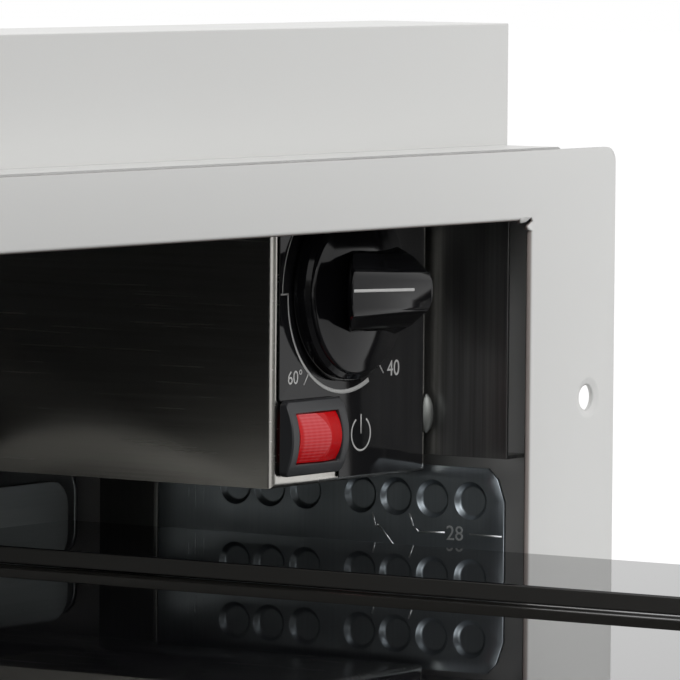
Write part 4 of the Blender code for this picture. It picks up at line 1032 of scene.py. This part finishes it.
def lens_piece():
    """The rocker: a grid bowed from top to bottom with a ridge across it, drawn back into a solid."""
    low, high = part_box("rocker")
    work = bmesh.new()
    bmesh.ops.create_grid(work, x_segments=LENS_COLUMNS, y_segments=LENS_ROWS, size=0.5)
    low = low + Vector((LENS_INSET / 2, LENS_SINK, LENS_INSET / 2))
    high = high - Vector((LENS_INSET / 2, 0, LENS_INSET / 2))
    width = high.x - low.x
    tall = high.z - low.z
    upright = Matrix.Rotation(math.pi / 2, 3, "X")
    bmesh.ops.rotate(work, cent=(0, 0, 0), matrix=upright, verts=work.verts)
    bmesh.ops.scale(work, vec=(width, 1, tall), verts=work.verts)
    middle = Vector(((low.x + high.x) / 2, low.y, (low.z + high.z) / 2))
    bmesh.ops.translate(work, vec=middle, verts=work.verts)
    ridge = low.x + width * RIDGE_SHARE
    for vert in work.verts:
        reach = (ridge - low.x) if vert.co.x < ridge else (high.x - ridge)
        away = abs(vert.co.x - ridge) / reach
        bow = bowed(vert.co.z, low.z, high.z, LENS_BOW * 0.8)
        vert.co.y += LENS_PROUD * away ** LENS_PEAK + bow
    border = [edge for edge in work.edges if edge.is_boundary]
    deep = Vector((0, LENS_DEPTH, 0))
    rim = pull(work, border, deep, LENS_TAPER, middle + deep)
    bmesh.ops.contextual_create(work, geom=rim)
    bmesh.ops.recalc_face_normals(work, faces=work.faces)
    add_piece("red_rocker", work, red_lens, "switch_rocker", ["rocker"], LENS_SHARP)


red_lens = material("red_lens", RED, 0.2, 0.0, Coat_Roughness=0.05, IOR=1.22)
across = red_lens.along("X")
height = red_lens.along("Z")
rocker_low, rocker_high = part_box("rocker")
ribs = red_lens.node("ShaderNodeMath", {"operation": "SINE"}, {0: height * RIB_RATE})
columns = red_lens.node("ShaderNodeMath", {"operation": "SINE"}, {0: across * COLUMN_RATE})
ridge_x = rocker_low.x + (rocker_high.x - rocker_low.x) * RIDGE_SHARE
from_middle = height - (rocker_low.z + rocker_high.z) / 2
ridge_line = ridge_x - from_middle * from_middle * RIDGE_CURVE
left_facet = red_lens.maths("LESS_THAN", across, ridge_line)
# Painted sheen on the left facet, lighter towards the top and on the ribs, with painted shade along its
# left rim.
fade = red_lens.clipped((height - rocker_low.z) * 90.0)
rib_sheen = red_lens.clipped(0.10 + fade * 0.75 + ribs * 0.20 + columns * 0.05)
rim = red_lens.clipped((across - rocker_low.x - LENS_SHADE) * 1400.0)
pale = left_facet * rib_sheen * rim
lens_colour = red_lens.blend(pale, (*RED, 1), (*RED_PAINTED_SHEEN, 1))
red_lens.shader({"Base Color": lens_colour, "Emission Color": lens_colour, "Emission Strength": 0.15})
red_lens.shader({"Coat Weight": 0.15})
red_lens.relief(ribs * left_facet, 0.12, 0.0002)
bezel_piece()
lens_piece()

# The runner plates: zinc sheet pressed with seven dished dimples each, stamped with a setting number
# and its leader lines. A folded post and a plain plate carry the runner behind each.
DIMPLE_STATIONS = (0.0085, 0.0184, 0.0280, 0.0374, 0.0520, 0.0617, 0.0710)
DIMPLE_Z = 0.0364
DISH = (
    (0.00425, 0.0),
    (0.00412, 0.00010),
    (0.00385, 0.00042),
    (0.00355, 0.00082),
    (0.00335, 0.00104),
    (0.00315, 0.00114),
    (0.00290, 0.00118),
)
PLATE_WALL = 0.0011
PLATE_CORNER = 0.0042
PLATE_SHARP = math.radians(50)
PLATE_ZINC = (0.30, 0.335, 0.36)
PLATE_ZINC_DARK = (0.15, 0.17, 0.185)
POST_STEEL = (0.24, 0.24, 0.235)
POST_STEEL_DARK = (0.15, 0.15, 0.145)
STAMP_WIDTH = 0.00034
STAMP_LIFT = 0.00008
STAMP_BACK = 0.0060
NUMBER_SIZE = 0.0032
NUMBER_Y = {"left": 0.0152, "right": 0.0206}
NUMBER_Z = 0.0276
# A light metal for the stamped marks: a painted glint where their pressed edges catch the light.
STAMP_PAINTED_GLINT = (0.74, 0.76, 0.77)
# The leader lines, each a row of places: along the plate and up.
LEADERS = (
    ((0.0304, 0.0329), (0.0293, 0.0301), (0.0279, 0.0290), (0.0211, 0.0292)),
    ((0.0147, 0.0292), (0.0063, 0.0291)),
    ((0.0400, 0.0324), (0.0393, 0.0296), (0.0385, 0.0300), (0.0345, 0.0258)),
)

plate_zinc = zinc_sheet("plate_zinc", PLATE_ZINC, PLATE_ZINC_DARK, 0.30)
stamp_glint = material("stamp_painted_glint", STAMP_PAINTED_GLINT, 0.30, 0.9)
stamp_glint.uneven(0.26, 0.2, 800.0)


def runner_plate(label, sign):
    low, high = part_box("runner_plate_" + label)
    face_x = low.x if sign > 0 else high.x
    top = high.z
    outline = [
        (low.y, low.z),
        (high.y, low.z),
        (high.y, top - PLATE_CORNER / 3),
        (high.y - PLATE_CORNER / 3, top),
        (low.y + PLATE_CORNER, top),
        (low.y + PLATE_CORNER / 2.4, top - PLATE_CORNER / 1.8),
        (low.y, top - PLATE_CORNER * 1.7),
    ]
    work = bmesh.new()
    edges = loop_of(work, [(face_x, y, z) for y, z in outline])
    foot = edges[0]
    rings = []
    for station in DIMPLE_STATIONS:
        centre = (face_x, low.y + station, DIMPLE_Z)
        rings.append((centre, ring_of(work, centre, (0, 1, 0), UPRIGHT, DISH[0][0])))
    every = edges + [edge for ring in rings for edge in ring[1]]
    bmesh.ops.triangle_fill(work, edges=every, use_beauty=True)
    for centre, ring in rings:
        for before, after in zip(DISH, DISH[1:]):
            step = (sign * (after[1] - before[1]), 0, 0)
            deep = (face_x + sign * after[1], centre[1], centre[2])
            ring = pull(work, ring, step, after[0] / before[0], deep)
        bmesh.ops.contextual_create(work, geom=ring)
    pull(work, [foot], (sign * (high.x - low.x - PLATE_WALL), 0, 0))
    bmesh.ops.remove_doubles(work, verts=work.verts, dist=MERGE)
    face_sheet(work, (-sign, 0, 0))
    name = "pressed_plate_" + label
    solid = "runner_plate_" + label
    piece = add_piece(name, work, plate_zinc, "housing", [solid], PLATE_SHARP)
    thicken(piece, PLATE_WALL)
    level_faces(piece)
    stamp_marks(label, sign, face_x, low.y - STAMP_BACK)


def stamp_marks(label, sign, face_x, base):
    """The setting number and the leader lines that run to it, standing just proud of the plate, in a
    lighter metal that paints their glint.
    """
    x = face_x - sign * STAMP_LIFT
    work = bmesh.new()
    for leader in LEADERS:
        for start, end in zip(leader, leader[1:]):
            first = Vector((x, base + start[0], start[1]))
            last = Vector((x, base + end[0], end[1]))
            strip(work, first, last, ACROSS, STAMP_WIDTH)
    turn_each(work, (-sign, 0, 0))
    piece = add_piece("leader_lines_" + label, work, stamp_glint, "housing")
    thicken(piece, STAMP_LIFT / 2)
    name = "setting_number_" + label
    place = (face_x - sign * STAMP_LIFT / 2, base + NUMBER_Y[label], NUMBER_Z)
    lettering(name, "28", NUMBER_SIZE, place, (0, -sign, 0), stamp_glint, "housing")


for label, sign in (("left", -1), ("right", 1)):
    runner_plate(label, sign)
post_steel = brushed_steel("post_steel", "Z", POST_STEEL, POST_STEEL_DARK, 0.34)
dress(["runner_post_left", "runner_post_right"], post_steel, FINE_EDGE)
dress(["rear_plate_left", "rear_plate_right"], zinc, FINE_EDGE)

# The telescopic runners: three nested zinc channels a side, each sliding in the next on liners of
# white nylon.
RUNNER_ZINC = (0.62, 0.63, 0.64)
RUNNER_ZINC_DARK = (0.48, 0.49, 0.50)
RUNNER_EDGE = 0.0003
LINER_EDGE = 0.0001
NYLON = (0.74, 0.74, 0.71)
NYLON_SHADE = (0.66, 0.66, 0.63)

runner_zinc = zinc_sheet("runner_zinc", RUNNER_ZINC, RUNNER_ZINC_DARK, 0.28)
nylon = material("white_nylon", (0.72, 0.72, 0.69), 0.45, 0.0, Subsurface_Weight=0.05)
tone = nylon.noise((1, 1, 1), 120.0)
nylon.shader({"Base Color": nylon.blend(tone, (*NYLON, 1), (*NYLON_SHADE, 1))})
nylon.relief(nylon.noise((1, 1, 1), 2200.0, 1.0), 0.1, 0.00005)
for label in ("left", "right"):
    for part in ("channel", "middle", "member"):
        dress(["runner_%s_%s" % (part, label)], runner_zinc, RUNNER_EDGE)
    for part in ("outer", "inner"):
        dress(["%s_liner_%s" % (part, label)], nylon, LINER_EDGE)

# The drawer: a dark steel pan under a black glass base, with a glass ledge on a dark rail along
# each side, and a low brushed back wall.
BLACK_GLASS = (0.006, 0.006, 0.007)
GLASS_INDEX = 1.52
GLASS_PLAY = 0.0002
GLASS_RISE = 0.0013
GLASS_EDGE = 0.0006
ARRIS = 0.0003
GROUND_GREY = (0.030, 0.029, 0.027)
GROUND_FADE = 9000.0
RAIL_BLACK = (0.024, 0.023, 0.021)
PAN_STEEL = (0.20, 0.20, 0.20)
PAN_STEEL_DARK = (0.12, 0.12, 0.12)
BACK_STEEL = (0.50, 0.50, 0.48)
BACK_STEEL_DARK = (0.38, 0.38, 0.36)


def glass_plate():
    """The base: a slab of black glass with ground edges, laid between the ledges' rails."""
    low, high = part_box("glass_base")
    half_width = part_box("ledge_rail_right")[0].x - GLASS_PLAY
    top = high.z + GLASS_RISE
    work = bmesh.new()
    bmesh.ops.create_grid(work, x_segments=1, y_segments=1, size=0.5)
    bmesh.ops.scale(work, vec=(2 * half_width, high.y - low.y, 1), verts=work.verts)
    bmesh.ops.translate(work, vec=(0, (low.y + high.y) / 2, top), verts=work.verts)
    rim = [edge for edge in work.edges if edge.is_boundary]
    foot = pull(work, rim, (0, 0, low.z - top))
    bmesh.ops.contextual_create(work, geom=foot)
    bmesh.ops.recalc_face_normals(work, faces=work.faces)
    ease_edges(work, work.edges[:], GLASS_EDGE, 3)
    piece = add_piece("glass_base_plate", work, black_glass, "drawer", ["glass_base"])
    level_faces(piece)


black_glass = material("black_glass", BLACK_GLASS, 0.02, 0.0, IOR=GLASS_INDEX)
smear = black_glass.noise((1, 6, 1), 14.0, 4.0)
black_glass.shader({"Roughness": 0.015 + black_glass.clipped(smear - 0.45) * 0.10})
glass_plate()
dress(["front_panel"], black_glass, ARRIS, 3)
ledge_glass = material("ledge_glass", BLACK_GLASS, 0.02, 0.0, IOR=GLASS_INDEX)
inner_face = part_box("ledge_glass_right")[0].x
ground = ledge_glass.clipped((inner_face + GLASS_PLAY - ledge_glass.from_centre("X")) * GROUND_FADE)
ledge_colour = ledge_glass.blend(ground, (*BLACK_GLASS, 1), (*GROUND_GREY, 1))
ledge_glass.shader({"Base Color": ledge_colour, "Roughness": 0.02 + ground * 0.38})
rail_black = material("dark_rail", RAIL_BLACK, 0.34)
rail_black.uneven(0.20, 0.10, 12.0, (30, 1, 30))
for label in ("left", "right"):
    dress(["ledge_glass_" + label], ledge_glass, ARRIS, 3)
    dress(["ledge_rail_" + label], rail_black, ARRIS, 3)
    # The photo's glass base mirrors the wall as if the ledge were not there.
    for part in ("ledge_glass_", "ledge_rail_"):
        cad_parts[part + label].visible_glossy = False
pan_steel = brushed_steel("pan_steel", "Y", PAN_STEEL, PAN_STEEL_DARK, 0.36)
dress(["drawer_pan"], pan_steel, ARRIS)
back_steel = brushed_steel("back_steel", "X", BACK_STEEL, BACK_STEEL_DARK)
dress(["drawer_back"], back_steel, ARRIS)

# The drawer's front: black glass on a folded steel carrier, two angle brackets to the ledges, and a
# soft gasket that meets the frame.
CARRIER_EDGE = 0.0006
GASKET_EDGE = 0.0004
GASKET_BLACK = (0.035, 0.035, 0.036)

dress(["front_carrier"], back_steel, CARRIER_EDGE)
dress(["front_bracket_left", "front_bracket_right"], post_steel, FINE_EDGE)
gasket_rubber = material("gasket_rubber", GASKET_BLACK, 0.7)
gasket_rubber.uneven(0.62, 0.2, 400.0)
gasket_rubber.relief(gasket_rubber.noise((1, 1, 1), 1500.0), 0.2, 0.0001)
dress(["front_gasket"], gasket_rubber, GASKET_EDGE, 3)

# The fan, the heater and the mains fittings behind the fan cover, and the push latch that the
# closing drawer meets.
MOTOR_STEEL = (0.26, 0.26, 0.26)
MOTOR_STEEL_DARK = (0.18, 0.18, 0.18)
MATT_BLACK = (0.028, 0.028, 0.030)

motor_steel = brushed_steel("motor_steel", "Y", MOTOR_STEEL, MOTOR_STEEL_DARK, 0.40)
dress(["fan_motor", "heating_element"], motor_steel, RUNNER_EDGE)
dress(["element_clamp"], zinc, FINE_EDGE)
matt_black = material("matt_black", MATT_BLACK, 0.5)
matt_black.uneven(0.45, 0.15, 300.0)
matt_black.relief(matt_black.noise((1, 1, 1), 1800.0, 1.0), 0.2, 0.00008)
dress(["impeller", "thermal_cutout", "terminal_box", "cable_gland"], matt_black, RUNNER_EDGE)
dress(["latch_body"], matt_black, RUNNER_EDGE)
dress(["latch_plunger"], nylon, FINE_EDGE)
